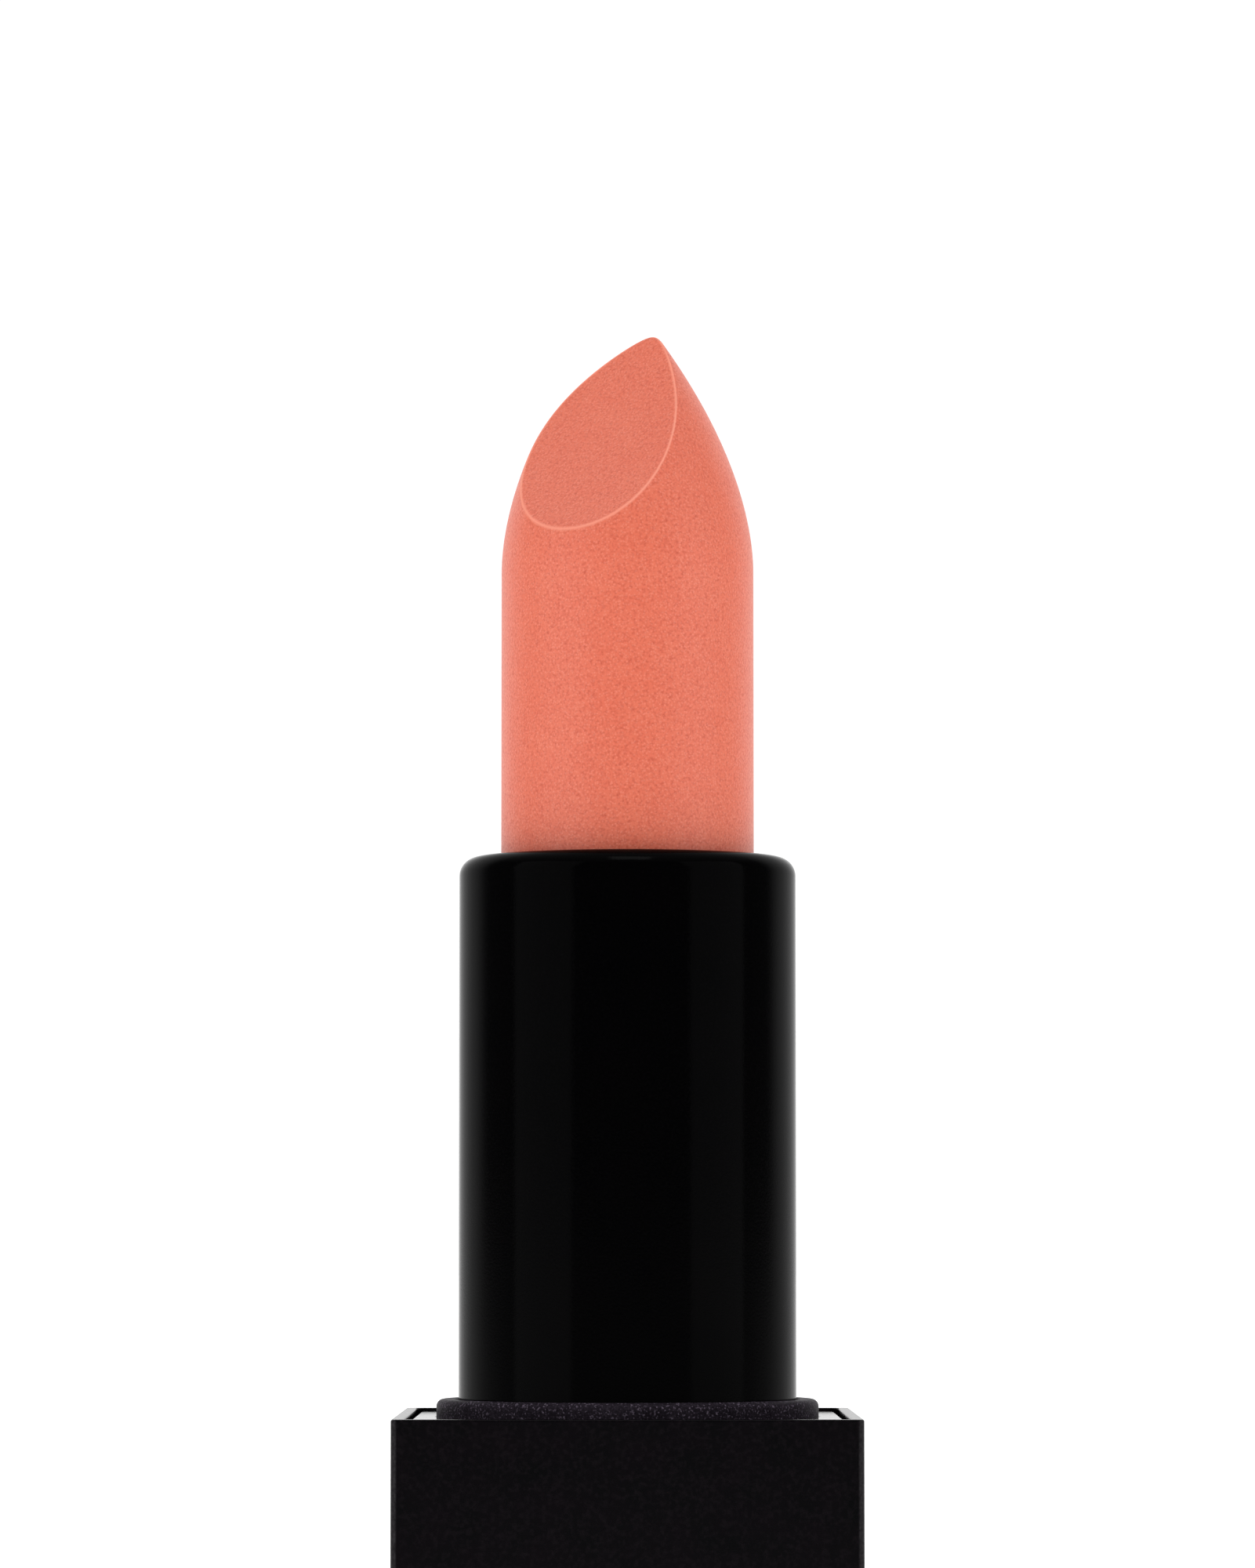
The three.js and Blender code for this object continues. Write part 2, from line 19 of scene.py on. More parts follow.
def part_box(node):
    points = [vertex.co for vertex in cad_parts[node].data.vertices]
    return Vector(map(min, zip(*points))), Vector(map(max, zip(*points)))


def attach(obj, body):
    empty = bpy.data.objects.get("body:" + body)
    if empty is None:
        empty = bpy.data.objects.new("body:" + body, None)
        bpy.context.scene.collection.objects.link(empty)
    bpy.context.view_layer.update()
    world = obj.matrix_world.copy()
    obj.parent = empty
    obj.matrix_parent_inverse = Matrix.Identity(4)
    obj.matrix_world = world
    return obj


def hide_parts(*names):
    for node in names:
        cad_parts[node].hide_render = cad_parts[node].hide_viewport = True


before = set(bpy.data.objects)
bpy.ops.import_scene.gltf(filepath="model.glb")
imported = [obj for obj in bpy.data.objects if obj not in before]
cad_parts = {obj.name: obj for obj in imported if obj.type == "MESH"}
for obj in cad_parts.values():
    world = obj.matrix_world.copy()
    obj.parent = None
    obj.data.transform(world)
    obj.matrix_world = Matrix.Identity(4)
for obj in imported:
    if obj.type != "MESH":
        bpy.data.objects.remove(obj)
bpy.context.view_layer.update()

MM = 0.001
FULL_TURN = 2 * math.pi
SHARP = math.radians(40)
MERGE_DISTANCE = 1e-7
SQUARE_CORNER_STEPS = 8
FINE_STEPS = 192
HALVINGS = 36
MID_HEIGHT = 45 * MM
Colour = tuple[float, float, float]
Socket = bpy.types.NodeSocket
Mesh = bmesh.types.BMesh
Edges = list[bmesh.types.BMEdge]
Ring = Callable[[float], Vector]

log = logging.getLogger("lipstick_case")


class Body(Enum):
    """The moving bodies of the case."""

    BASE = "base"
    SLEEVE = "sleeve"
    LIFT = "lift"


class Slot(Enum):
    """The record's material slots."""

    SHELL = "shell_black"
    MOULDED = "moulded_black"
    LABEL = "label_paper"
    WEIGHT = "weight_steel"
    INSERT = "insert_black"
    COLLAR = "collar_black"
    NATURAL = "natural_plastic"
    SILICONE = "silicone"
    SLEEVE = "sleeve_gloss_black"
    CUP = "cup_black"
    BULLET = "coral_bullet"


# ---- Finishes -------------------------------------------------------------------------------


class NodeBench:
    """A node tree, with short ways to add and join nodes."""

    def __init__(self, tree: bpy.types.NodeTree, coordinates: str) -> None:
        """Empties a node tree and adds its coordinates.

        Args:
            tree: The node tree.
            coordinates: The name of the texture coordinates that its patterns use.
        """
        self.tree = tree
        self.tree.nodes.clear()
        self.place = self.node("ShaderNodeTexCoord").outputs[coordinates]

    def node(self, kind: str, **settings: object) -> bpy.types.Node:
        """Adds a node.

        Args:
            kind: The node's type.
            **settings: Properties to set on the node.

        Returns:
            The new node.
        """
        made = self.tree.nodes.new(kind)
        for key, value in settings.items():
            setattr(made, key, value)
        return made

    def join(self, source: Socket, target: Socket) -> None:
        """Links an output to an input."""
        self.tree.links.new(source, target)

    def stretched(self, scale: Sequence[float]) -> Socket:
        """Object coordinates scaled along each axis.

        Args:
            scale: The factors along x, y and z.

        Returns:
            The scaled coordinates.
        """
        mapping = self.node("ShaderNodeMapping")
        mapping.inputs["Scale"].default_value = scale
        self.join(self.place, mapping.inputs["Vector"])
        return mapping.outputs["Vector"]

    def noise(self, size: float, detail: float = 2.0) -> Socket:
        """A noise pattern.

        Args:
            size: The width of one blotch, in metres.
            detail: How many finer layers the noise has.

        Returns:
            The noise's value, from 0 to 1.
        """
        noise = self.node("ShaderNodeTexNoise")
        noise.inputs["Scale"].default_value = 1 / size
        noise.inputs["Detail"].default_value = detail
        self.join(self.place, noise.inputs["Vector"])
        return noise.outputs["Fac"]

    def specks(self, size: float) -> Socket:
        """Rounded cells.

        Args:
            size: The width of one cell, in metres.

        Returns:
            The distance from the cell's middle, 0 at the middle.
        """
        cells = self.node("ShaderNodeTexVoronoi", feature="F1")
        cells.inputs["Scale"].default_value = 1 / size
        self.join(self.place, cells.inputs["Vector"])
        return cells.outputs["Distance"]

    def ranged(
        self, value: Socket, low: float, high: float, to_low: float = 0.0, to_high: float = 1.0
    ) -> Socket:
        """Maps a value from one range to another, and holds it there.

        Args:
            value: The value to map.
            low: The value that becomes to_low.
            high: The value that becomes to_high.
            to_low: The result at low.
            to_high: The result at high.

        Returns:
            The mapped value.
        """
        ranged = self.node("ShaderNodeMapRange", clamp=True)
        limits = {"From Min": low, "From Max": high, "To Min": to_low, "To Max": to_high}
        for name, number in limits.items():
            ranged.inputs[name].default_value = number
        self.join(value, ranged.inputs["Value"])
        return ranged.outputs["Result"]

    def blend(self, share: Socket, first: Colour | Socket, second: Colour) -> Socket:
        """Mixes two colours.

        Args:
            share: How much of the second colour shows, from 0 to 1.
            first: The first colour, or a socket that gives it.
            second: The second colour.

        Returns:
            The mixed colour.
        """
        mix = self.node("ShaderNodeMix", data_type="RGBA")
        colours = [socket for socket in mix.inputs if socket.type == "RGBA"]
        if isinstance(first, tuple):
            colours[0].default_value = (*first, 1)
        else:
            self.join(first, colours[0])
        colours[1].default_value = (*second, 1)
        self.join(share, mix.inputs["Factor"])
        return next(socket for socket in mix.outputs if socket.type == "RGBA")

    def summed(self, first: Socket, second: Socket) -> Socket:
        """Adds two values.

        Args:
            first: The first value.
            second: The second value.

        Returns:
            Their sum.
        """
        add = self.node("ShaderNodeMath", operation="ADD")
        self.join(first, add.inputs[0])
        self.join(second, add.inputs[1])
        return add.outputs["Value"]


class MaterialBench(NodeBench):
    """The node tree of a new material, with a shader and its output."""

    def __init__(self, name: str) -> None:
        """Starts the material.

        Args:
            name: The material's name.
        """
        self.material = bpy.data.materials.new(name)
        self.material.use_nodes = True
        super().__init__(self.material.node_tree, "Object")
        self.shader = self.node("ShaderNodeBsdfPrincipled")
        output = self.node("ShaderNodeOutputMaterial")
        self.join(self.shader.outputs["BSDF"], output.inputs["Surface"])

    def emboss(self, height: Socket, depth: float) -> None:
        """Bumps the surface.

        Args:
            height: The pattern, from 0 to 1.
            depth: How deep the pattern is, in metres.
        """
        bump = self.node("ShaderNodeBump")
        bump.inputs["Distance"].default_value = depth
        self.join(height, bump.inputs["Height"])
        self.join(bump.outputs["Normal"], self.shader.inputs["Normal"])


@dataclass(frozen=True)
class Finish:
    """A surface with a broad mottle, a fine grain, and a little uneven gloss.

    Attributes:
        name: The material's name.
        colour: The main colour.
        shade: The colour that the mottle drifts to.
        grain_colour: The colour of the fine grain.
        grain_share: How strongly the fine grain colours the surface.
        mottle_size: The width of one blotch of the mottle, in metres.
        grain_size: The width of one grain, in metres.
        grain_depth: How deep the grain is, in metres.
        roughness: The mean roughness.
        roughness_spread: How far the roughness strays from its mean.
        metallic: 1 for bare metal, otherwise 0.
        ior: The index of refraction of the surface.
    """

    name: str
    colour: Colour
    shade: Colour
    grain_colour: Colour
    grain_share: float = 0.2
    mottle_size: float = 1.2 * MM
    grain_size: float = 0.12 * MM
    grain_depth: float = 0.002 * MM
    roughness: float = 0.5
    roughness_spread: float = 0.05
    metallic: float = 0.0
    ior: float = 1.45

    def build(self) -> bpy.types.Material:
        """Makes the material.

        Returns:
            The finished material.
        """
        bench = MaterialBench(self.name)
        shader = bench.shader
        shader.inputs["Metallic"].default_value = self.metallic
        shader.inputs["IOR"].default_value = self.ior
        mottle = bench.ranged(bench.noise(self.mottle_size, 3.0), 0.3, 0.7)
        grain = bench.noise(self.grain_size, 2.0)
        colour = bench.blend(mottle, self.colour, self.shade)
        share = bench.ranged(grain, 0.45, 0.75, 0.0, self.grain_share)
        colour = bench.blend(share, colour, self.grain_colour)
        low, high = self.roughness - self.roughness_spread, self.roughness + self.roughness_spread
        bench.join(bench.ranged(grain, 0.3, 0.7, low, high), shader.inputs["Roughness"])
        bench.join(self.detail(bench, colour), shader.inputs["Base Color"])
        bench.emboss(self.relief(bench, grain), self.grain_depth)
        return bench.material

    def detail(self, bench: MaterialBench, colour: Socket) -> Socket:
        """Lays this finish's own marks over the colour; a plain finish has none."""
        return colour

    def relief(self, bench: MaterialBench, grain: Socket) -> Socket:
        """Chooses the pattern that bumps the surface; a plain finish uses its grain."""
        return grain


@dataclass(frozen=True)
class CoralWax(Finish):
    """Moulded lipstick wax: soft, faintly pearly, and lit a little from inside.

    Attributes:
        depth: How far light travels inside the wax, in metres.
        pearl_size: The width of one pearl fleck, in metres.
        edge_highlight_colour: The colour of the highlight painted along the rounded edge of the slanted
            face.
    """

    depth: float = 0.25 * MM
    pearl_size: float = 0.13 * MM
    edge_highlight_colour: Colour = (0.80, 0.27, 0.18)

    def build(self) -> bpy.types.Material:
        """Makes the material with light scattered inside it.

        Returns:
            The finished material.
        """
        material = super().build()
        shader = next(node for node in material.node_tree.nodes if node.type == "BSDF_PRINCIPLED")
        shader.inputs["Subsurface Weight"].default_value = 0.15
        shader.inputs["Subsurface Radius"].default_value = (1.0, 0.35, 0.2)
        shader.inputs["Subsurface Scale"].default_value = self.depth
        return material

    def detail(self, bench: MaterialBench, colour: Socket) -> Socket:
        """Scatters pale pearl flecks over the wax, and paints a highlight along the edge of the slanted
        face.

        Args:
            bench: The material's node tree.
            colour: The wax's colour so far.

        Returns:
            The colour with the flecks and the painted edge highlight.
        """
        flecks = bench.ranged(bench.specks(self.pearl_size), 0.0, 0.5, 0.20, 0.0)
        flecked = bench.blend(flecks, colour, (0.95, 0.50, 0.40))
        # Painted highlight along the rounded edge of the slanted face, read from a vertex layer.
        edge = bench.node("ShaderNodeAttribute", attribute_name="painted_edge_highlight")
        return bench.blend(edge.outputs["Fac"], flecked, self.edge_highlight_colour)


@dataclass(frozen=True)
class GrainyBlack(Finish):
    """Spark-eroded black moulding with glinting grains.

    Attributes:
        fleck_size: The width of one glinting grain, in metres.
        fleck_colour: The colour of the glinting grains.
    """

    fleck_size: float = 0.11 * MM
    fleck_colour: Colour = (0.130, 0.106, 0.142)

    def detail(self, bench: MaterialBench, colour: Socket) -> Socket:
        """Adds the pale grains.

        Args:
            bench: The material's node tree.
            colour: The moulding's colour so far.

        Returns:
            The colour with the grains.
        """
        chosen = bench.ranged(bench.noise(self.fleck_size, 1.0), 0.58, 0.72, 0.0, 0.8)
        return bench.blend(chosen, colour, self.fleck_colour)

    def relief(self, bench: MaterialBench, grain: Socket) -> Socket:
        """Makes the surface of rounded grains of two sizes.

        Args:
            bench: The material's node tree.
            grain: The finish's fine grain.

        Returns:
            The height pattern.
        """
        return bench.summed(bench.ranged(bench.specks(self.fleck_size), 0.0, 0.6, 1.0, 0.0), grain)


@dataclass(frozen=True)
class EdgeHighlightCoat(Finish):
    """A black coat with a painted highlight along the upright edges of a square tube.

    Attributes:
        highlight_reach: |x| + |y| where the painted highlight line starts, in metres.
        highlight_width: How much further it takes to reach its full strength.
        edge_highlight_colour: The colour of the painted highlight line.
    """

    highlight_reach: float = 21.5 * MM
    highlight_width: float = 0.06 * MM
    edge_highlight_colour: Colour = (0.022, 0.020, 0.022)

    def detail(self, bench: MaterialBench, colour: Socket) -> Socket:
        """Paints the highlight lines along the upright edges, broken up by specks.

        Args:
            bench: The material's node tree.
            colour: The coat's colour so far.

        Returns:
            The colour with the painted highlight lines.
        """
        # Painted highlight: a paler colour where |x| + |y| reaches the rounded upright edges, broken up
        # by noise.
        size = bench.node("ShaderNodeVectorMath", operation="ABSOLUTE")
        bench.join(bench.place, size.inputs[0])
        reach = bench.node("ShaderNodeVectorMath", operation="DOT_PRODUCT")
        bench.join(size.outputs["Vector"], reach.inputs[0])
        reach.inputs[1].default_value = (1, 1, 0)
        edge = bench.ranged(reach.outputs["Value"], self.highlight_reach, self.highlight_reach + self.highlight_width)
        broken_highlight = bench.node("ShaderNodeMath", operation="MULTIPLY")
        bench.join(edge, broken_highlight.inputs[0])
        bench.join(bench.ranged(bench.noise(0.15 * MM), 0.3, 0.7, 0.3, 1.0), broken_highlight.inputs[1])
        return bench.blend(broken_highlight.outputs["Value"], colour, self.edge_highlight_colour)


@dataclass(frozen=True)
class TurnedSteel(Finish):
    """Steel with the fine rings that a lathe leaves.

    Attributes:
        ring_width: The width of one ring, in metres.
    """

    ring_width: float = 0.12 * MM

    def relief(self, bench: MaterialBench, grain: Socket) -> Socket:
        """Makes rings about the axis.

        Args:
            bench: The material's node tree.
            grain: The finish's fine grain.

        Returns:
            The height pattern.
        """
        wave = bench.node("ShaderNodeTexWave", wave_type="RINGS", rings_direction="Z")
        wave.inputs["Scale"].default_value = 0.16 / self.ring_width
        wave.inputs["Distortion"].default_value = 0.6
        bench.join(bench.place, wave.inputs["Vector"])
        return bench.summed(wave.outputs["Fac"], grain)


@dataclass(frozen=True)
class SwatchPaper(Finish):
    """A blank paper label with a round printed swatch of the bullet's colour.

    Attributes:
        swatch_radius: The radius of the swatch, in metres.
        swatch_colour: The colour of the swatch.
    """

    swatch_radius: float = 3.4 * MM
    swatch_colour: Colour = (0.74, 0.16, 0.09)

    def detail(self, bench: MaterialBench, colour: Socket) -> Socket:
        """Prints the swatch in the middle of the label.

        Args:
            bench: The material's node tree.
            colour: The paper's colour.

        Returns:
            The colour with the swatch.
        """
        flat = bench.stretched((1, 1, 0))
        length = bench.node("ShaderNodeVectorMath", operation="LENGTH")
        bench.join(flat, length.inputs[0])
        rim = self.swatch_radius + 0.03 * MM
        inside = bench.ranged(length.outputs["Value"], self.swatch_radius, rim, 1.0, 0.0)
        return bench.blend(inside, colour, self.swatch_colour)


def finishes() -> dict[Slot, bpy.types.Material]:
    """Makes every finish of the case.

    Returns:
        The material for each slot.
    """
    made: dict[Slot, Finish] = {
        # The shell's finish paints a highlight along its upright edges.
        Slot.SHELL: EdgeHighlightCoat(
            "satin_black_shell",
            (0.0018, 0.0010, 0.0018), (0.0008, 0.0008, 0.0011), (0.0060, 0.0042, 0.0056),
            grain_share=0.6, mottle_size=1.6 * MM, grain_size=0.2 * MM, grain_depth=0.0001 * MM,
            roughness=0.17, roughness_spread=0.02, ior=1.11,
        ),
        Slot.MOULDED: Finish(
            "moulded_black_plate",
            (0.012, 0.011, 0.012), (0.008, 0.0075, 0.008), (0.03, 0.03, 0.03),
            grain_depth=0.006 * MM, roughness=0.55, ior=1.35,
        ),
        Slot.LABEL: SwatchPaper(
            "blank_label_paper",
            (0.84, 0.83, 0.80), (0.80, 0.79, 0.76), (0.72, 0.71, 0.69),
            grain_depth=0.004 * MM, roughness=0.75,
        ),
        Slot.WEIGHT: TurnedSteel(
            "turned_steel",
            (0.50, 0.49, 0.48), (0.40, 0.39, 0.38), (0.62, 0.61, 0.60),
            grain_depth=0.004 * MM, roughness=0.38, metallic=1.0, ior=2.5,
        ),
        Slot.INSERT: Finish(
            "smooth_black_insert",
            (0.006, 0.005, 0.0055), (0.004, 0.0036, 0.004), (0.012, 0.011, 0.012),
            grain_share=0.15, grain_depth=0.00008 * MM, roughness=0.11, roughness_spread=0.01, ior=1.12,
        ),
        Slot.COLLAR: GrainyBlack(
            "grainy_black_collar",
            (0.0150, 0.0118, 0.0163), (0.0090, 0.0070, 0.0098), (0.040, 0.032, 0.044),
            grain_share=0.5, grain_depth=0.010 * MM, grain_size=0.1 * MM,
            roughness=0.36, roughness_spread=0.08, ior=1.04,
        ),
        Slot.NATURAL: Finish(
            "natural_acetal",
            (0.72, 0.70, 0.64), (0.66, 0.64, 0.58), (0.78, 0.77, 0.72),
            grain_share=0.1, grain_depth=0.001 * MM, roughness=0.4,
        ),
        Slot.SILICONE: Finish(
            "grey_silicone",
            (0.30, 0.30, 0.29), (0.25, 0.25, 0.24), (0.36, 0.36, 0.35),
            grain_depth=0.002 * MM, roughness=0.7,
        ),
        Slot.SLEEVE: Finish(
            "gloss_black_sleeve",
            (0.0006, 0.0005, 0.0006), (0.0004, 0.0004, 0.0005), (0.0016, 0.0014, 0.0017),
            grain_share=0.3, mottle_size=3.0 * MM, grain_size=0.12 * MM, grain_depth=0.0024 * MM,
            roughness=0.12, roughness_spread=0.03, ior=1.068,
        ),
        Slot.CUP: Finish(
            "smooth_black_cup",
            (0.006, 0.0055, 0.006), (0.004, 0.004, 0.0045), (0.012, 0.011, 0.012),
            grain_share=0.15, grain_depth=0.0008 * MM, roughness=0.22, ior=1.35,
        ),
        Slot.BULLET: CoralWax(
            "coral_wax",
            (0.676, 0.154, 0.089), (0.664, 0.142, 0.081), (0.52, 0.084, 0.045),
            grain_share=0.9, mottle_size=1.6 * MM, grain_size=0.12 * MM, grain_depth=0.013 * MM,
            roughness=0.43, roughness_spread=0.05, ior=1.38,
        ),
    }
    return {slot: finish.build() for slot, finish in made.items()}


# ---- Mesh tools -----------------------------------------------------------------------------


@dataclass(frozen=True)
class Corner:
    """A corner of a turned outline.

    Attributes:
        radius: The corner's distance from the axis, in metres.
        height: The corner's height, in metres.
        round: The radius that the corner is rounded to, or 0 for a sharp one.
    """

    radius: float
    height: float
    round: float = 0.0


@dataclass
class Outline:
    """The outline of a turned piece, up its outside and down its inside.

    Attributes:
        corners: The outline's corners in order.
        closed: True for a ring, False for a piece whose outline ends on the axis.
        arc_steps: How many steps each rounded corner takes.
        guard: The distance from a corner to the extra point that keeps the long stretches flat.
    """

    corners: list[Corner]
    closed: bool = True
    arc_steps: int = 8
    guard: float = 0.05 * MM

    def points(self) -> list[Vector]:
        """Works out the outline's points.

        Returns:
            The points as (radius, 0, height) vectors.
        """
        count = len(self.corners)
        runs = []
        for i, corner in enumerate(self.corners):
            at_end = not self.closed and i in (0, count - 1)
            here = Vector((corner.radius, 0, corner.height))
            if corner.round == 0 or at_end:
                runs.append([here])
                continue
            before, after = self.corners[i - 1], self.corners[(i + 1) % count]
            towards = Vector((before.radius, 0, before.height)) - here
            onwards = Vector((after.radius, 0, after.height)) - here
            runs.append(self.arc(here, towards.normalized(), onwards.normalized(), corner.round))
        return self.guarded(runs)

    def arc(self, here: Vector, towards: Vector, onwards: Vector, radius: float) -> list[Vector]:
        """Rounds one corner.

        Args:
            here: The sharp corner.
            towards: The direction back along the outline.
            onwards: The direction on along the outline.
            radius: The radius of the round.

        Returns:
            The points of the arc.
        """
        opening = towards.angle(onwards)
        reach = radius / math.tan(opening / 2)
        centre = here + (towards + onwards).normalized() * (radius / math.sin(opening / 2))
        start = here + towards * reach - centre
        end = here + onwards * reach - centre
        sweep = start.angle(end)
        points = []
        for step in range(self.arc_steps + 1):
            share = step / self.arc_steps
            first = math.sin((1 - share) * sweep) / math.sin(sweep)
            second = math.sin(share * sweep) / math.sin(sweep)
            points.append(centre + start * first + end * second)
        return points

    def guarded(self, runs: list[list[Vector]]) -> list[Vector]:
        """Joins the runs, with an extra point near both ends of each long stretch.

        Args:
            runs: The points of each corner.

        Returns:
            All the points in order.
        """
        points: list[Vector] = []
        for i, run in enumerate(runs):
            points.extend(run)
            if i == len(runs) - 1 and not self.closed:
                break
            start, end = run[-1], runs[(i + 1) % len(runs)][0]
            gap = end - start
            if gap.length > 4 * self.guard:
                step = gap.normalized() * self.guard
                points.extend((start + step, end - step))
        return points


def band(node: str, bore: float, rounds: Sequence[float], arc_steps: int = 8) -> Outline:
    """Outlines a plain disc or ring as wide and as high as a CAD node.

    Args:
        node: The CAD node.
        bore: The radius of the ring's hole, or 0 for a disc.
        rounds: The rounds of the corners: inner low, outer low, outer high, inner high.
        arc_steps: How many steps each rounded corner takes.

    Returns:
        The outline.
    """
    low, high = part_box(node)
    places = ((bore, low.z), (high.x, low.z), (high.x, high.z), (bore, high.z))
    corners = [Corner(*place, rounded) for place, rounded in zip(places, rounds)]
    return Outline(corners, closed=bore > 0, arc_steps=arc_steps)


def of_kind(items: Iterable[object], kind: type) -> list:
    """Picks the vertices, edges or faces out of what an operator made."""
    return [item for item in items if isinstance(item, kind)]


def spun(outline: Outline, steps: int = 144) -> Mesh:
    """Spins an outline about the axis.

    Args:
        outline: The outline to spin.
        steps: How many steps the full turn takes.

    Returns:
        The closed mesh.
    """
    mesh = bmesh.new()
    verts = [mesh.verts.new(point) for point in outline.points()]
    pairs = list(zip(verts, verts[1:]))
    if outline.closed:
        pairs.append((verts[-1], verts[0]))
    edges = [mesh.edges.new(pair) for pair in pairs]
    geom = [*verts, *edges]
    bmesh.ops.spin(mesh, geom=geom, axis=(0, 0, 1), angle=FULL_TURN, steps=steps, use_merge=True)
    return tidied(mesh)


def tidied(mesh: Mesh) -> Mesh:
    """Merges doubled vertices and turns every face outwards.

    Args:
        mesh: The mesh to tidy.

    Returns:
        The same mesh.
    """
    bmesh.ops.remove_doubles(mesh, verts=mesh.verts[:], dist=MERGE_DISTANCE)
    bmesh.ops.dissolve_degenerate(mesh, dist=MERGE_DISTANCE / 10, edges=mesh.edges[:])
    bmesh.ops.recalc_face_normals(mesh, faces=mesh.faces[:])
    return mesh


def square_loop(mesh: Mesh, half: float, corner: float, height: float, side_cuts: int = 0) -> Edges:
    """Draws a square with rounded corners as a loop of edges.

    Args:
        mesh: The mesh to draw in.
        half: Half of the square's side, in metres.
        corner: The radius of its corners, in metres.
        height: The height to draw it at, in metres.
        side_cuts: How many extra points each straight side gets.

    Returns:
        The edges of the loop.
    """
    grid = bmesh.ops.create_grid(mesh, x_segments=1, y_segments=1, size=half)
    bmesh.ops.translate(mesh, verts=grid["verts"], vec=(0, 0, height))
    rounded = bmesh.ops.bevel(
        mesh,
        geom=grid["verts"],
        offset=corner,
        segments=SQUARE_CORNER_STEPS,
        profile=0.5,
        affect="VERTICES",
        material=-1,
    )
    faces = {face for vert in rounded["verts"] for face in vert.link_faces}
    edges = {edge for face in faces for edge in face.edges}
    if side_cuts:
        straight = [edge for edge in edges if edge.calc_length() > half]
        cut = bmesh.ops.subdivide_edges(mesh, edges=straight, cuts=side_cuts)
        faces = {face for vert in of_kind(cut["geom"], bmesh.types.BMVert) for face in vert.link_faces}
        edges = {edge for face in faces for edge in face.edges}
    bmesh.ops.delete(mesh, geom=list(faces), context="FACES_ONLY")
    return list(edges)


def circle_loop(mesh: Mesh, radius: float, height: float, steps: int) -> Edges:
    """Draws a circle as a loop of edges.

    Args:
        mesh: The mesh to draw in.
        radius: The circle's radius, in metres.
        height: The height to draw it at, in metres.
        steps: How many points it has.

    Returns:
        The edges of the loop.
    """
    circle = bmesh.ops.create_circle(mesh, cap_ends=False, segments=steps, radius=radius)
    bmesh.ops.translate(mesh, verts=circle["verts"], vec=(0, 0, height))
    return list({edge for vert in circle["verts"] for edge in vert.link_edges})


def drawn_out(mesh: Mesh, edges: Edges, move: Callable[[Vector], Vector]) -> Edges:
    """Extrudes a loop of edges and moves the new loop.

    Args:
        mesh: The mesh that holds the loop.
        edges: The loop to extrude.
        move: Gives each new point's place from the old one.

    Returns:
        The new loop.
    """
    made = bmesh.ops.extrude_edge_only(mesh, edges=edges)["geom"]
    for vert in of_kind(made, bmesh.types.BMVert):
        vert.co = move(vert.co)
    return of_kind(made, bmesh.types.BMEdge)


def to_height(height: float) -> Callable[[Vector], Vector]:
    """Gives a move that puts points at a height."""
    return lambda point: Vector((point.x, point.y, height))


def to_radius(radius: float) -> Callable[[Vector], Vector]:
    """Gives a move that puts points at a distance from the axis.

    Args:
        radius: The distance from the axis.

    Returns:
        The move, which keeps a point's direction and height.
    """

    def move(point: Vector) -> Vector:
        """Moves one point straight out or in."""
        flat = Vector((point.x, point.y, 0)).normalized() * radius
        return Vector((flat.x, flat.y, point.z))

    return move


def capped(mesh: Mesh, edges: Edges) -> None:
    """Closes a loop of edges with triangles about its middle."""
    face = bmesh.ops.contextual_create(mesh, geom=edges)["faces"]
    bmesh.ops.poke(mesh, faces=face)


def linked(name: str, data: bpy.types.ID) -> bpy.types.Object:
    """Adds an object to the scene.

    Args:
        name: The object's name.
        data: Its mesh, light or camera.

    Returns:
        The new object.
    """
    made = bpy.data.objects.new(name, data)
    bpy.context.scene.collection.objects.link(made)
    return made


def solid(name: str, mesh: Mesh, material: bpy.types.Material) -> bpy.types.Object:
    """Turns a mesh into an object.

    Args:
        name: The object's name.
        mesh: The mesh, which is used up.
        material: Its material.

    Returns:
        The new object.
    """
    data = bpy.data.meshes.new(name)
    mesh.to_mesh(data)
    mesh.free()
    data.materials.append(material)
    return linked(name, data)


@dataclass
class Workshop:
    """Turns finished meshes into pieces of the case.

    Attributes:
        materials: The material for each slot.
    """

    materials: dict[Slot, bpy.types.Material]

    def piece(
        self, name: str, mesh: Mesh, body: Body, slot: Slot, node: str
    ) -> bpy.types.Object:
        """Makes an object that stands for a CAD node.

        Args:
            name: The piece's name.
            mesh: Its mesh, which is used up.
            body: The body that it rides on.
            slot: Its material slot.
            node: The CAD node that it stands for.

        Returns:
            The new object.
        """
        for face in mesh.faces:
            face.smooth = True
        made = solid(name, mesh, self.materials[slot])
        made.data.set_sharp_from_angle(angle=SHARP)
        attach(made, body.value)
        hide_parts(node)
        faces = len(made.data.polygons)
        log.info("%s: %d faces, rides on %s, stands for %s", name, faces, body.value, node)
        return made

    def keep(self, node: str, slot: Slot) -> None:
        """Gives a CAD node its finish and keeps its own mesh.

        Args:
            node: The CAD node.
            slot: Its material slot.
        """
        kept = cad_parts[node]
        kept.data.materials.clear()
        kept.data.materials.append(self.materials[slot])
        log.info("%s: CAD mesh kept", node)


def softened(piece: bpy.types.Object, width: float, steps: int = 3) -> None:
    """Rounds a piece's sharp edges and keeps its flats flat.

    Args:
        piece: The piece to soften.
        width: The width of the round, in metres.
        steps: How many steps the round takes.
    """
    bevel = piece.modifiers.new("softened edges", "BEVEL")
    bevel.width = width
    bevel.segments = steps
    bevel.limit_method = "ANGLE"
    bevel.angle_limit = SHARP
    bevel.harden_normals = True
    flats = piece.modifiers.new("flat faces", "WEIGHTED_NORMAL")
    flats.keep_sharp = True


# ---- Base -----------------------------------------------------------------------------------


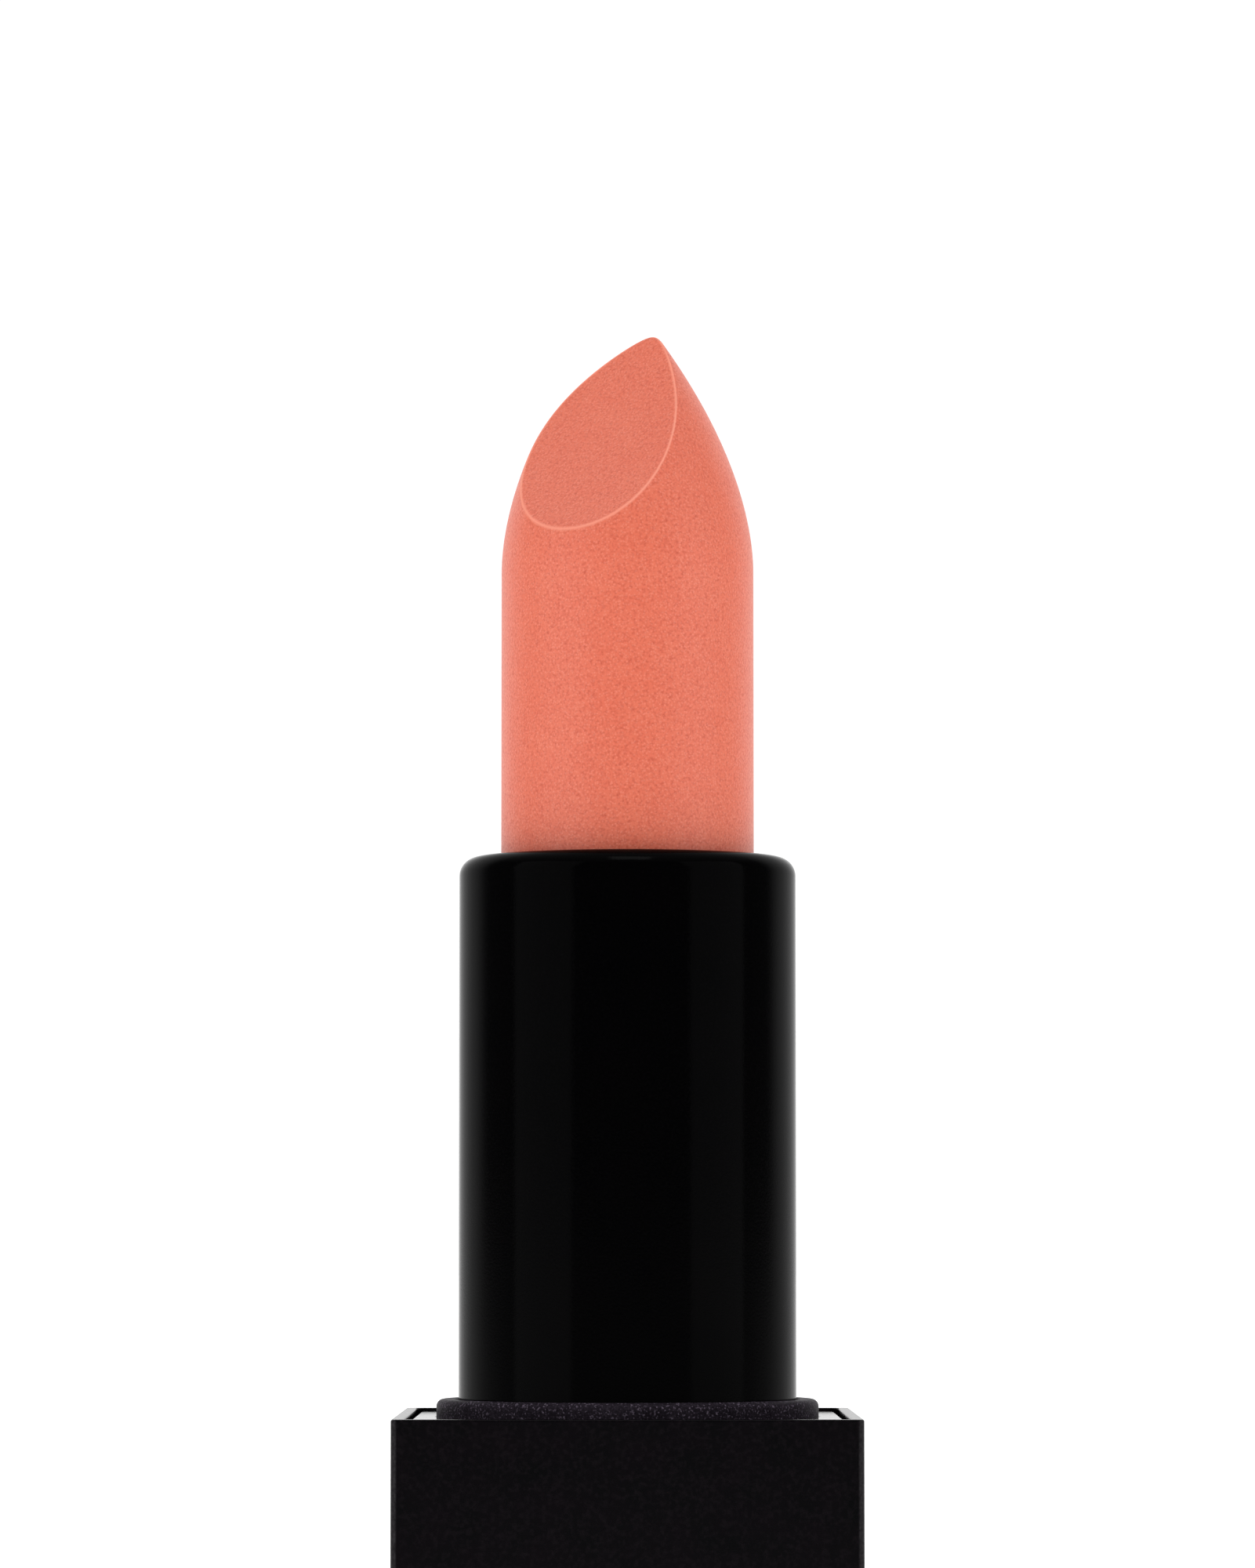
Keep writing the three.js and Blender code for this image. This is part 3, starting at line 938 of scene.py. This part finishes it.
@dataclass
class Base:
    """The square base: shell, closing plate, label, weight, insert and collar.

    Attributes:
        workshop: Makes the pieces.
        wall: The shell's wall.
        shell_corner: The radius of the shell's upright edges.
        shell_inner_corner: The radius of the shell's inner corners.
        rim_round: How far the shell's rims are rounded.
        recess_gap: How much wider the plate's recess is than the label.
        recess_depth: How deep the plate's recess is.
        plate_thickness: The thickness of the plate.
        plate_ring_wall: The wall of the plate's ring around the weight.
        weight_round: How far the weight's edges are rounded.
        insert_corner: The radius of the insert's corners.
        insert_round: How far the insert's rim is rounded.
        seat_gap: The gap around the collar in its seat.
        bore_gap: The gap between the insert's bore and the sleeve.
        groove: The width of the groove between the shell and the insert.
        stem_depth: The height of the bore's floor above the foot of the inner tube's stem.
        socket: The radius of the hole for the stem.
        collar_gap: The gap between the collar and the sleeve.
        collar_round: The radius of the collar's shoulder.
        around: How many points the insert's loops have.
    """

    workshop: Workshop
    wall: float = 0.55 * MM
    shell_corner: float = 0.35 * MM
    shell_inner_corner: float = 0.45 * MM
    rim_round: float = 0.1 * MM
    recess_gap: float = 0.3 * MM
    recess_depth: float = 0.3 * MM
    plate_thickness: float = 1.2 * MM
    plate_ring_wall: float = 0.7 * MM
    weight_round: float = 0.4 * MM
    insert_corner: float = 0.8 * MM
    insert_round: float = 0.08 * MM
    seat_gap: float = 0.05 * MM
    bore_gap: float = 0.2 * MM
    groove: float = 0.25 * MM
    stem_depth: float = 3.4 * MM
    socket: float = 6.7 * MM
    collar_gap: float = 0.15 * MM
    collar_round: float = 0.35 * MM
    around: int = 128

    def build(self) -> None:
        """Builds every piece of the base."""
        self.shell()
        self.plate()
        self.label()
        self.weight()
        self.insert()
        self.collar()

    def side_cuts(self) -> int:
        """How many points each straight side needs to match a circle of the same count."""
        corner_points = 9
        return self.around // 4 - corner_points

    def shell(self) -> None:
        """Builds the thin square tube."""
        low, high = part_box("base_shell")
        mesh = bmesh.new()
        outer = square_loop(mesh, high.x, self.shell_corner, low.z)
        inner = square_loop(mesh, high.x - self.wall, self.shell_inner_corner, low.z)
        rim = bmesh.ops.bridge_loops(mesh, edges=[*outer, *inner])["faces"]
        raised = bmesh.ops.extrude_face_region(mesh, geom=rim)["geom"]
        verts = of_kind(raised, bmesh.types.BMVert)
        bmesh.ops.translate(mesh, verts=verts, vec=(0, 0, high.z - low.z))
        shell = self.workshop.piece("square_shell", tidied(mesh), Body.BASE, Slot.SHELL, "base_shell")
        softened(shell, self.rim_round)

    def plate(self) -> None:
        """Builds the plate with its round label recess below and its ring for the weight above."""
        low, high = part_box("bottom_plate")
        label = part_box("shade_label")[1].x
        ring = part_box("base_weight")[1].x + 2 * self.seat_gap
        top = low.z + self.plate_thickness
        mesh = bmesh.new()
        side = square_loop(mesh, high.x, self.shell_inner_corner, low.z, self.side_cuts())
        recess = circle_loop(mesh, label + self.recess_gap, low.z, self.around)
        bmesh.ops.bridge_loops(mesh, edges=[*side, *recess])
        capped(mesh, drawn_out(mesh, recess, to_height(low.z + self.recess_depth)))
        side = drawn_out(mesh, side, to_height(top))
        outside = circle_loop(mesh, ring + self.plate_ring_wall, top, self.around)
        bmesh.ops.bridge_loops(mesh, edges=[*side, *outside])
        outside = drawn_out(mesh, outside, to_height(high.z))
        inside = drawn_out(mesh, outside, to_radius(ring))
        capped(mesh, drawn_out(mesh, inside, to_height(top)))
        tidied(mesh)
        plate = self.workshop.piece("closing_plate", mesh, Body.BASE, Slot.MOULDED, "bottom_plate")
        softened(plate, self.rim_round, 2)

    def label(self) -> None:
        """Builds the thin round label."""
        edge = 0.03 * MM
        label = spun(band("shade_label", 0, (0, edge, edge, 0), 3), self.around)
        self.workshop.piece("blank_shade_label", label, Body.BASE, Slot.LABEL, "shade_label")

    def weight(self) -> None:
        """Builds the steel slug."""
        rounds = (0, self.weight_round, self.weight_round, 0)
        slug = spun(band("base_weight", 0, rounds), self.around)
        self.workshop.piece("steel_slug", slug, Body.BASE, Slot.WEIGHT, "base_weight")

    def insert(self) -> None:
        """Builds the block with its stepped bore."""
        low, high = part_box("base_insert")
        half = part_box("base_shell")[1].x - self.wall - self.groove
        collar_low, collar_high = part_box("collar_ring")
        seat = collar_high.x + self.seat_gap
        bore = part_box("outer_sleeve")[1].x + self.bore_gap
        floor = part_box("inner_body")[0].z + self.stem_depth
        mesh = bmesh.new()
        side = square_loop(mesh, half, self.insert_corner, high.z, self.side_cuts())
        mouth = circle_loop(mesh, seat, high.z, self.around)
        bmesh.ops.bridge_loops(mesh, edges=[*side, *mouth])
        side = drawn_out(mesh, side, to_height(low.z))
        for move in (
            to_height(collar_low.z - self.seat_gap),
            to_radius(bore),
            to_height(floor),
            to_radius(self.socket),
            to_height(low.z),
        ):
            mouth = drawn_out(mesh, mouth, move)
        bmesh.ops.bridge_loops(mesh, edges=[*side, *mouth])
        tidied(mesh)
        insert = self.workshop.piece("bored_insert", mesh, Body.BASE, Slot.INSERT, "base_insert")
        softened(insert, self.insert_round)

    def collar(self) -> None:
        """Builds the grainy ring that the cap grips."""
        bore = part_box("outer_sleeve")[1].x + self.collar_gap
        edge = 0.08 * MM
        ring = spun(band("collar_ring", bore, (edge, edge, self.collar_round, edge), 10), FINE_STEPS)
        self.workshop.piece("grained_collar", ring, Body.BASE, Slot.COLLAR, "collar_ring")


# ---- Mechanism ------------------------------------------------------------------------------


@dataclass
class Mechanism:
    """The fixed inner tube, its friction ring, and the spiral cam.

    Attributes:
        workshop: Makes the pieces.
        radius: The tube's outer radius.
        bore: The tube's bore.
        stem_radius: The stem's radius.
        stem_bore: The stem's bore.
        vent: The radius of the vent in the tube's floor.
        flange_bottom: The height of the flange's underside.
        flange_top: The height of the flange's top.
        bead_bottom: The height of the bead that holds the cam.
        bead_top: The top of that bead.
        bead_reach: How far the bead stands out.
        ring_bore: The radius of the friction ring's hole.
        ring_seat: The radius of the groove that the friction ring sits in.
        slot_bottom: The foot of the lug slots.
        slot_top: The top of the lug slots.
        slot_steps: How many of the tube's steps each slot is wide.
        around: How many steps the tube has.
    """

    workshop: Workshop
    radius: float = 7.05 * MM
    bore: float = 6.55 * MM
    stem_radius: float = 5.6 * MM
    stem_bore: float = 4.4 * MM
    vent: float = 2.5 * MM
    flange_bottom: float = 10.0 * MM
    flange_top: float = 11.4 * MM
    bead_bottom: float = 46.5 * MM
    bead_top: float = 46.9 * MM
    bead_reach: float = 0.2 * MM
    ring_bore: float = 6.9 * MM
    ring_seat: float = 6.85 * MM
    slot_bottom: float = 12.5 * MM
    slot_top: float = 40.5 * MM
    slot_steps: int = 6
    around: int = 120

    def build(self) -> None:
        """Builds every piece of the mechanism."""
        self.inner_tube()
        self.drag_ring()
        self.workshop.keep("spiral_cam", Slot.NATURAL)

    def inner_tube(self) -> None:
        """Builds the fixed tube and opens its two lug slots."""
        low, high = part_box("inner_body")
        ring_low, ring_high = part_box("friction_ring")
        bead = self.radius + self.bead_reach
        gap = 0.05 * MM
        edge = 0.1 * MM
        outside = (
            (self.stem_bore, low.z, 0),
            (self.stem_radius, low.z, edge),
            (self.stem_radius, self.flange_bottom, 0),
            (high.x, self.flange_bottom, edge),
            (high.x, self.flange_top, edge),
            (self.radius, self.flange_top, 0),
            (self.radius, self.slot_bottom, 0),
            (self.radius, self.slot_top, 0),
            (self.radius, self.bead_bottom, 0),
            (bead, self.bead_bottom, edge),
            (bead, self.bead_top, edge),
            (self.radius, self.bead_top, 0),
            (self.radius, ring_low.z - gap, 0),
            (self.ring_seat, ring_low.z - gap, 0),
            (self.ring_seat, ring_high.z + gap, 0),
            (self.radius, ring_high.z + gap, 0),
            (self.radius, high.z, edge),
        )
        inside = (
            (self.bore, high.z, edge),
            (self.bore, self.slot_top, 0),
            (self.bore, self.slot_bottom, 0),
            (self.bore, self.flange_top, 0),
            (self.vent, self.flange_top, 0),
            (self.vent, self.flange_bottom, 0),
            (self.stem_bore, self.flange_bottom, 0),
        )
        outline = Outline([Corner(*corner) for corner in (*outside, *inside)], arc_steps=3)
        mesh = spun(outline, self.around)
        for side in (0.0, math.pi):
            self.open_slot(mesh, side)
        self.workshop.piece("slotted_inner_tube", tidied(mesh), Body.BASE, Slot.NATURAL, "inner_body")

    def open_slot(self, mesh: Mesh, side: float) -> None:
        """Cuts one slot through the tube's wall.

        Args:
            mesh: The tube's mesh.
            side: The slot's direction, in radians about the axis.
        """
        half = self.slot_steps / 2 * FULL_TURN / self.around
        facing = Vector((math.cos(side), math.sin(side), 0))
        doomed = []
        for face in mesh.faces:
            middle = face.calc_center_median()
            flat = Vector((middle.x, middle.y, 0))
            if self.slot_bottom < middle.z < self.slot_top and flat.angle(facing) < half:
                doomed.append(face)
        bmesh.ops.delete(mesh, geom=doomed, context="FACES")
        rim = [edge for edge in mesh.edges if edge.is_boundary]
        bmesh.ops.bridge_loops(mesh, edges=rim)

    def drag_ring(self) -> None:
        """Builds the soft friction ring."""
        inner, outer = 0.1 * MM, 0.3 * MM
        ring = spun(band("friction_ring", self.ring_bore, (inner, outer, outer, inner), 5), self.around)
        self.workshop.piece("soft_drag_ring", ring, Body.BASE, Slot.SILICONE, "friction_ring")


# ---- Sleeve ---------------------------------------------------------------------------------


@dataclass
class Sleeve:
    """The gloss tube that is turned by hand.

    Attributes:
        workshop: Makes the pieces.
        wall: The thickness of the tube.
        lip: The thickness of the rolled-in mouth.
        shoulder: The radius of the mouth's shoulder.
        mouth: The radius of the mouth's opening.
    """

    workshop: Workshop
    wall: float = 0.28 * MM
    lip: float = 0.3 * MM
    shoulder: float = 0.9 * MM
    mouth: float = 6.75 * MM

    def build(self) -> None:
        """Builds the sleeve."""
        low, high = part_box("outer_sleeve")
        bore = high.x - self.wall
        edge = 0.06 * MM
        lip_edge = 0.12 * MM
        outline = Outline(
            [
                Corner(bore, low.z, edge),
                Corner(high.x, low.z, edge),
                Corner(high.x, high.z, self.shoulder),
                Corner(self.mouth, high.z, lip_edge),
                Corner(self.mouth, high.z - self.lip, lip_edge),
                Corner(bore, high.z - self.lip, self.shoulder - self.wall),
            ],
            arc_steps=12,
        )
        tube = spun(outline, FINE_STEPS)
        self.workshop.piece("turned_sleeve", tube, Body.SLEEVE, Slot.SLEEVE, "outer_sleeve")


# ---- Cup and bullet -------------------------------------------------------------------------


@dataclass
class Lift:
    """The cup with its lugs, and the coral bullet in it.

    Attributes:
        workshop: Makes the pieces.
        cup_bore: The bore of the cup.
        cup_radius: The radius of the cup.
        skirt_bore: The bore of the cup's skirt.
        skirt: The length of the cup's skirt.
        floor: The thickness of the cup's floor.
        vent: The radius of the vent in the cup's floor.
        lug_radius: The radius of a lug.
        lug_level: The height of the lugs above the foot of the cup.
    """

    workshop: Workshop
    cup_bore: float = 6.1 * MM
    cup_radius: float = 6.45 * MM
    skirt_bore: float = 5.9 * MM
    skirt: float = 2.0 * MM
    floor: float = 1.0 * MM
    vent: float = 1.0 * MM
    lug_radius: float = 0.9 * MM
    lug_level: float = 1.2 * MM

    def build(self) -> None:
        """Builds the cup and the bullet."""
        self.cup()
        Bullet(self.workshop).build()

    def cup(self) -> None:
        """Builds the cup and its two lugs."""
        low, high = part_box("bullet_cup")
        floor_low = low.z + self.skirt
        floor_high = floor_low + self.floor
        edge = 0.1 * MM
        outline = Outline(
            [
                Corner(self.skirt_bore, low.z, edge),
                Corner(self.cup_radius, low.z, edge),
                Corner(self.cup_radius, high.z, edge),
                Corner(self.cup_bore, high.z, edge),
                Corner(self.cup_bore, floor_high),
                Corner(self.vent, floor_high),
                Corner(self.vent, floor_low),
                Corner(self.skirt_bore, floor_low),
            ],
            arc_steps=4,
        )
        mesh = spun(outline, 144)
        for side in (-1, 1):
            self.lug(mesh, side, low.z + self.lug_level, high.x)
        self.workshop.piece("lugged_cup", mesh, Body.LIFT, Slot.CUP, "bullet_cup")

    def lug(self, mesh: Mesh, side: int, level: float, reach: float) -> None:
        """Adds one lug.

        Args:
            mesh: The cup's mesh.
            side: 1 for +X, or -1 for -X.
            level: The lug's height.
            reach: How far the lug reaches from the axis.
        """
        root = (self.skirt_bore + self.cup_radius) / 2
        made = bmesh.ops.create_cone(
            mesh,
            cap_ends=True,
            segments=32,
            radius1=self.lug_radius,
            radius2=self.lug_radius,
            depth=reach - root,
        )
        verts = made["verts"]
        bmesh.ops.rotate(mesh, verts=verts, cent=(0, 0, 0), matrix=Matrix.Rotation(math.pi / 2, 3, "Y"))
        bmesh.ops.translate(mesh, verts=verts, vec=(side * (root + reach) / 2, 0, level))


@dataclass
class Bullet:
    """The bullet: a straight foot, a pointed arch that leans to +X, and a hollowed, slanted face.

    Every ring of the bullet has the same bearings, and each of its points is placed by its bearing.

    Attributes:
        workshop: Makes the piece.
        chamfer: The chamfer of the foot.
        taper_start: The height where the bullet starts to narrow.
        below_taper: How far below that height the rings of the arch start.
        taper_scale: Millimetres of radius lost per millimetre above that height ...
        taper_power: ... raised to this power.
        uncut_tip: The height where the arch would end in a point.
        lean_start: The height where the tip starts to lean.
        lean_scale: The lean per cubed millimetre above that height, in millimetres.
        slant_azimuth: How far the slanted face turns from the front towards -X, in degrees.
        slant_tilt: How far the slanted face looks up, in degrees.
        slant_on_axis: The height where the slanted face crosses the axis.
        hollow: The radius of the slanted face's hollow.
        hollow_turn: The turn from straight downhill to the line of the hollow, in degrees.
        edge: How far the edge of the slanted face is rounded.
        edge_steps: How many steps that round takes.
        around: How many bearings there are.
        straight_rings: How many rings the straight foot has.
        arch_rings: How many rings the arch has.
        face_rings: How many rings the slanted face has.
    """

    workshop: Workshop
    chamfer: float = 0.3 * MM
    taper_start: float = 64.27 * MM
    below_taper: float = 3.0 * MM
    taper_scale: float = 0.0577
    taper_power: float = 1.8
    uncut_tip: float = 76.08 * MM
    lean_start: float = 69.99 * MM
    lean_scale: float = 0.00503
    slant_azimuth: float = 32.0
    slant_tilt: float = 30.1
    slant_on_axis: float = 74.085 * MM
    hollow: float = 50.6 * MM
    hollow_turn: float = 78.0
    edge: float = 0.16 * MM
    edge_steps: int = 6
    around: int = 256
    straight_rings: int = 12
    arch_rings: int = 44
    face_rings: int = 16
    facing: Vector = field(init=False)
    across: Vector = field(init=False)
    radius: float = field(init=False)
    borders: dict[float, float] = field(init=False, default_factory=dict)

    def __post_init__(self) -> None:
        """Works out the directions of the slanted face and the bullet's radius."""
        azimuth, tilt = math.radians(self.slant_azimuth), math.radians(self.slant_tilt)
        outwards = Vector((-math.sin(azimuth), -math.cos(azimuth), 0))
        upwards = Vector((0, 0, 1))
        self.facing = outwards * math.cos(tilt) + upwards * math.sin(tilt)
        downhill = outwards * math.sin(tilt) - upwards * math.cos(tilt)
        turn = math.radians(self.hollow_turn)
        line = downhill * math.cos(turn) + self.facing.cross(downhill) * math.sin(turn)
        self.across = self.facing.cross(line)
        self.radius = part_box("lipstick_bullet")[1].x

    def lean_at(self, height: float) -> float:
        """Gives how far the bullet leans at a height."""
        return self.lean_scale * (max(height - self.lean_start, 0) / MM) ** 3 * MM

    def radius_at(self, height: float) -> float:
        """Gives the uncut bullet's radius at a height."""
        above = max(height - self.taper_start, 0) / MM
        return self.radius - self.taper_scale * above**self.taper_power * MM - self.lean_at(height)

    def on_body(self, bearing: float, height: float) -> Vector:
        """Finds a point on the uncut bullet.

        Args:
            bearing: The point's direction from the middle of its ring, in radians.
            height: The point's height.

        Returns:
            The point.
        """
        radius = max(self.radius_at(height), 0)
        x = radius * math.cos(bearing) + self.lean_at(height)
        return Vector((x, radius * math.sin(bearing), height))

    def lift_of(self, point: Vector) -> float:
        """Gives how far a point stands out of the slanted face.

        Args:
            point: The point to measure.

        Returns:
            The distance along the way that the face looks, more than 0 for what is cut away.
        """
        offset = point - Vector((0, 0, self.slant_on_axis))
        sideways = offset.dot(self.across)
        return offset.dot(self.facing) - (self.hollow - math.sqrt(self.hollow**2 - sideways**2))

    def border(self, bearing: float) -> float:
        """Finds the height where the slanted face meets the arch.

        Args:
            bearing: The direction from the middle of the ring, in radians.

        Returns:
            The height of the border.
        """
        if bearing not in self.borders:
            low, high = self.taper_start - self.below_taper, self.uncut_tip
            for _ in range(HALVINGS):
                middle = (low + high) / 2
                if self.lift_of(self.on_body(bearing, middle)) > 0:
                    high = middle
                else:
                    low = middle
            self.borders[bearing] = low
        return self.borders[bearing]

    def on_face(self, bearing: float, middle: Vector, inwards: float) -> Vector:
        """Finds a point on the slanted face.

        Args:
            bearing: The bearing of the border point that it lies inwards from.
            middle: The middle of the face.
            inwards: Its distance from the border, towards the middle.

        Returns:
            The point.
        """
        start = self.on_body(bearing, self.border(bearing))
        drawn = start + (middle - start).normalized() * inwards
        return drawn - self.facing * self.lift_of(drawn)

    def build(self) -> None:
        """Builds the bullet."""
        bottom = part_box("lipstick_bullet")[0].z
        mesh = bmesh.new()
        bearings = mesh.verts.layers.float.new("bearing")
        # This vertex layer carries the highlight painted along the rounded edge of the slanted face.
        highlight_layer = mesh.verts.layers.float.new("painted_edge_highlight")
        loop = circle_loop(mesh, self.radius - self.chamfer, bottom, self.around)
        for vert in mesh.verts:
            vert[bearings] = math.atan2(vert.co.y, vert.co.x)
        middle = self.face_middle([vert[bearings] for vert in mesh.verts])
        capped(mesh, loop)
        walls = [(place, 0.0) for place in self.wall(bottom + self.chamfer)]
        inner = [(place, 0.0) for place in self.face(middle)]
        for place, highlight_strength in [*walls, *self.rounded_edge(middle), *inner]:
            made = bmesh.ops.extrude_edge_only(mesh, edges=loop)["geom"]
            for vert in of_kind(made, bmesh.types.BMVert):
                vert.co = place(vert[bearings])
                vert[highlight_layer] = highlight_strength
            loop = of_kind(made, bmesh.types.BMEdge)
        capped(mesh, loop)
        self.workshop.piece("coral_bullet", tidied(mesh), Body.LIFT, Slot.BULLET, "lipstick_bullet")

    def face_middle(self, bearings: Sequence[float]) -> Vector:
        """Finds the middle of the slanted face.

        Args:
            bearings: The bearings of the border's points.

        Returns:
            A point on the face.
        """
        rim = [self.on_body(bearing, self.border(bearing)) for bearing in bearings]
        middle = sum(rim, Vector((0, 0, 0))) / len(rim)
        return middle - self.facing * self.lift_of(middle)

    def wall(self, foot: float) -> list[Ring]:
        """Gives the rings of the foot and the arch.

        Args:
            foot: The height of the lowest ring.

        Returns:
            For each ring, what places its points.
        """
        top = self.taper_start - self.below_taper
        step = (top - foot) / self.straight_rings
        straight = [foot + step * i for i in range(self.straight_rings + 1)]
        rings = [lambda bearing, height=height: self.on_body(bearing, height) for height in straight]
        for i in range(1, self.arch_rings):
            rings.append(
                lambda bearing, share=i / self.arch_rings: self.on_body(
                    bearing, top + (self.border(bearing) - self.edge - top) * share
                )
            )
        return rings

    def rounded_edge(self, middle: Vector) -> list[tuple[Ring, float]]:
        """Gives the rings that round the edge of the slanted face.

        Args:
            middle: The middle of the face.

        Returns:
            For each ring, what places its points, and how strongly the edge highlight is painted on it,
            from 0 to 1.
        """

        def place(bearing: float, share: float) -> Vector:
            """Follows a smooth curve from the arch to the face.

            Args:
                bearing: The bearing of the point.
                share: How far along the curve it is, from 0 to 1.

            Returns:
                The point.
            """
            corner = self.on_body(bearing, self.border(bearing))
            start = self.on_body(bearing, self.border(bearing) - self.edge)
            end = self.on_face(bearing, middle, self.edge)
            return start * (1 - share) ** 2 + corner * (2 * share * (1 - share)) + end * share**2

        rings = []
        for i in range(self.edge_steps + 1):
            share = i / self.edge_steps
            # The painted highlight is strongest halfway round the edge.
            rings.append((lambda bearing, share=share: place(bearing, share), 1 - abs(2 * share - 1)))
        return rings

    def face(self, middle: Vector) -> list[Ring]:
        """Gives the rings of the slanted face.

        Args:
            middle: The middle of the face.

        Returns:
            For each ring, what places its points.
        """

        def place(bearing: float, share: float) -> Vector:
            """Goes from the rounded edge towards the middle.

            Args:
                bearing: The bearing of the point.
                share: How far towards the middle it is, from 0 to 1.

            Returns:
                The point.
            """
            start = self.on_body(bearing, self.border(bearing))
            whole = (middle - start).length
            return self.on_face(bearing, middle, self.edge + (whole - self.edge) * share)

        shares = [i / self.face_rings for i in range(1, self.face_rings)]
        return [lambda bearing, share=share: place(bearing, share) for share in shares]


# ---- Studio ---------------------------------------------------------------------------------


@dataclass
class Studio:
    """A pale floor, a white backdrop, and two large softboxes in front with a smaller one above.

    Attributes:
        floor_half: Half of the floor's side, in metres.
        floor_glow: How much light the floor gives off.
        front: The surround's brightness in front of the case.
        side: Its brightness beside the case.
        back: Its brightness behind the case.
        ceiling: Its brightness above the case.
        seen: Its brightness where the camera sees it directly.
    """

    floor_half: float = 6.0
    floor_glow: float = 0.45
    front: float = 0.15
    side: float = 0.22
    back: float = 1.2
    ceiling: float = 1.25
    seen: float = 1.05

    def build(self) -> None:
        """Builds the floor, the surround and the lamps."""
        self.floor()
        self.surround()
        self.lamp("left_softbox", -60.0, 17.0, 0.35, 0.30, 1.45)
        self.lamp("right_softbox", 64.0, 17.0, 0.35, 0.28, 1.4)
        self.lamp("high_softbox", 3.0, 60.0, 0.40, 0.14, 4.5)
        bpy.context.scene.view_settings.view_transform = "Standard"
        bpy.context.scene.view_settings.look = "None"

    def floor(self) -> None:
        """Builds the pale floor."""
        mesh = bmesh.new()
        bmesh.ops.create_grid(mesh, x_segments=12, y_segments=12, size=self.floor_half)
        bench = MaterialBench("pale_floor")
        tone = bench.blend(bench.noise(0.05), (0.93, 0.93, 0.93), (0.95, 0.95, 0.95))
        bench.join(tone, bench.shader.inputs["Base Color"])
        bench.shader.inputs["Roughness"].default_value = 0.8
        bench.shader.inputs["Emission Color"].default_value = (1, 1, 1, 1)
        bench.shader.inputs["Emission Strength"].default_value = self.floor_glow
        solid("pale_floor", mesh, bench.material)

    def surround(self) -> None:
        """Builds the surround: plain white to look at, and a little uneven as a light."""
        world = bpy.data.worlds.new("white_surround")
        bpy.context.scene.world = world
        world.use_nodes = True
        bench = NodeBench(world.node_tree, "Generated")
        parts = bench.node("ShaderNodeSeparateXYZ")
        bench.join(bench.place, parts.inputs["Vector"])
        ramp = bench.node("ShaderNodeValToRGB")
        bench.join(bench.ranged(parts.outputs["Y"], -1, 1), ramp.inputs["Fac"])
        ramp.color_ramp.interpolation = "EASE"
        stops = ((0.2, self.front), (0.32, self.side), (0.66, self.side), (0.8, self.back))
        while len(ramp.color_ramp.elements) < len(stops):
            ramp.color_ramp.elements.new(0.5)
        for element, (position, level) in zip(ramp.color_ramp.elements, stops):
            element.position = position
            element.color = (*[level / self.back] * 3, 1)
        height = bench.ranged(parts.outputs["Z"], 0.55, 0.9)
        roof = self.ceiling / self.back
        glow = bench.node("ShaderNodeBackground")
        glow.inputs["Strength"].default_value = self.back
        bench.join(bench.blend(height, ramp.outputs["Color"], (roof, roof, roof)), glow.inputs["Color"])
        plain = bench.node("ShaderNodeBackground")
        plain.inputs["Color"].default_value = (1, 1, 1, 1)
        plain.inputs["Strength"].default_value = self.seen
        ray = bench.node("ShaderNodeLightPath")
        choose = bench.node("ShaderNodeMixShader")
        bench.join(ray.outputs["Is Camera Ray"], choose.inputs["Fac"])
        bench.join(glow.outputs["Background"], choose.inputs[1])
        bench.join(plain.outputs["Background"], choose.inputs[2])
        output = bench.node("ShaderNodeOutputWorld")
        bench.join(choose.outputs["Shader"], output.inputs["Surface"])

    def lamp(
        self, name: str, side: float, rise: float, away: float, size: float, radiance: float
    ) -> None:
        """Hangs one softbox, turned towards the case.

        Args:
            name: The lamp's name.
            side: Its angle from straight in front, positive towards +X, in degrees.
            rise: Its angle above level, in degrees.
            away: Its distance from the middle of the case, in metres.
            size: The side of its square face, in metres.
            radiance: How bright its face is, where the backdrop is about 1.
        """
        data = bpy.data.lights.new(name, "AREA")
        data.shape = "SQUARE"
        data.size = size
        data.energy = radiance * math.pi * size**2
        lamp = linked(name, data)
        turn, lift = math.radians(side), math.radians(rise)
        flat = math.cos(lift)
        aim = Vector((math.sin(turn) * flat, -math.cos(turn) * flat, math.sin(lift)))
        lamp.location = aim * away + Vector((0, 0, MID_HEIGHT))
        lamp.rotation_euler = aim.to_track_quat("Z", "Y").to_euler()


@dataclass
class Viewpoint:
    """The camera, low in front of the case and tipped up a little.

    Attributes:
        distance: How far it stands in front of the axis, in metres.
        above_rim: How far it is above the base's rim, in metres.
        pitch: How far it looks up, in degrees.
        lens: Its focal length, in millimetres.
    """

    distance: float = 0.3104
    above_rim: float = 8.11 * MM
    pitch: float = 4.043
    lens: float = 149.0

    def build(self) -> None:
        """Sets up the camera."""
        data = bpy.data.cameras.new("front_camera")
        data.lens = self.lens
        data.clip_start = 0.01
        data.clip_end = 50
        camera = linked("front_camera", data)
        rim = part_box("base_shell")[1].z
        camera.location = (0, -self.distance, rim + self.above_rim)
        camera.rotation_euler = (math.radians(90 + self.pitch), 0, 0)
        bpy.context.scene.camera = camera


def main() -> None:
    """Builds the case, the studio and the camera."""
    logging.basicConfig(level=logging.INFO, format="%(message)s")
    workshop = Workshop(finishes())
    Viewpoint().build()
    Base(workshop).build()
    Mechanism(workshop).build()
    Sleeve(workshop).build()
    Lift(workshop).build()
    Studio().build()


if __name__ == "__main__":
    main()
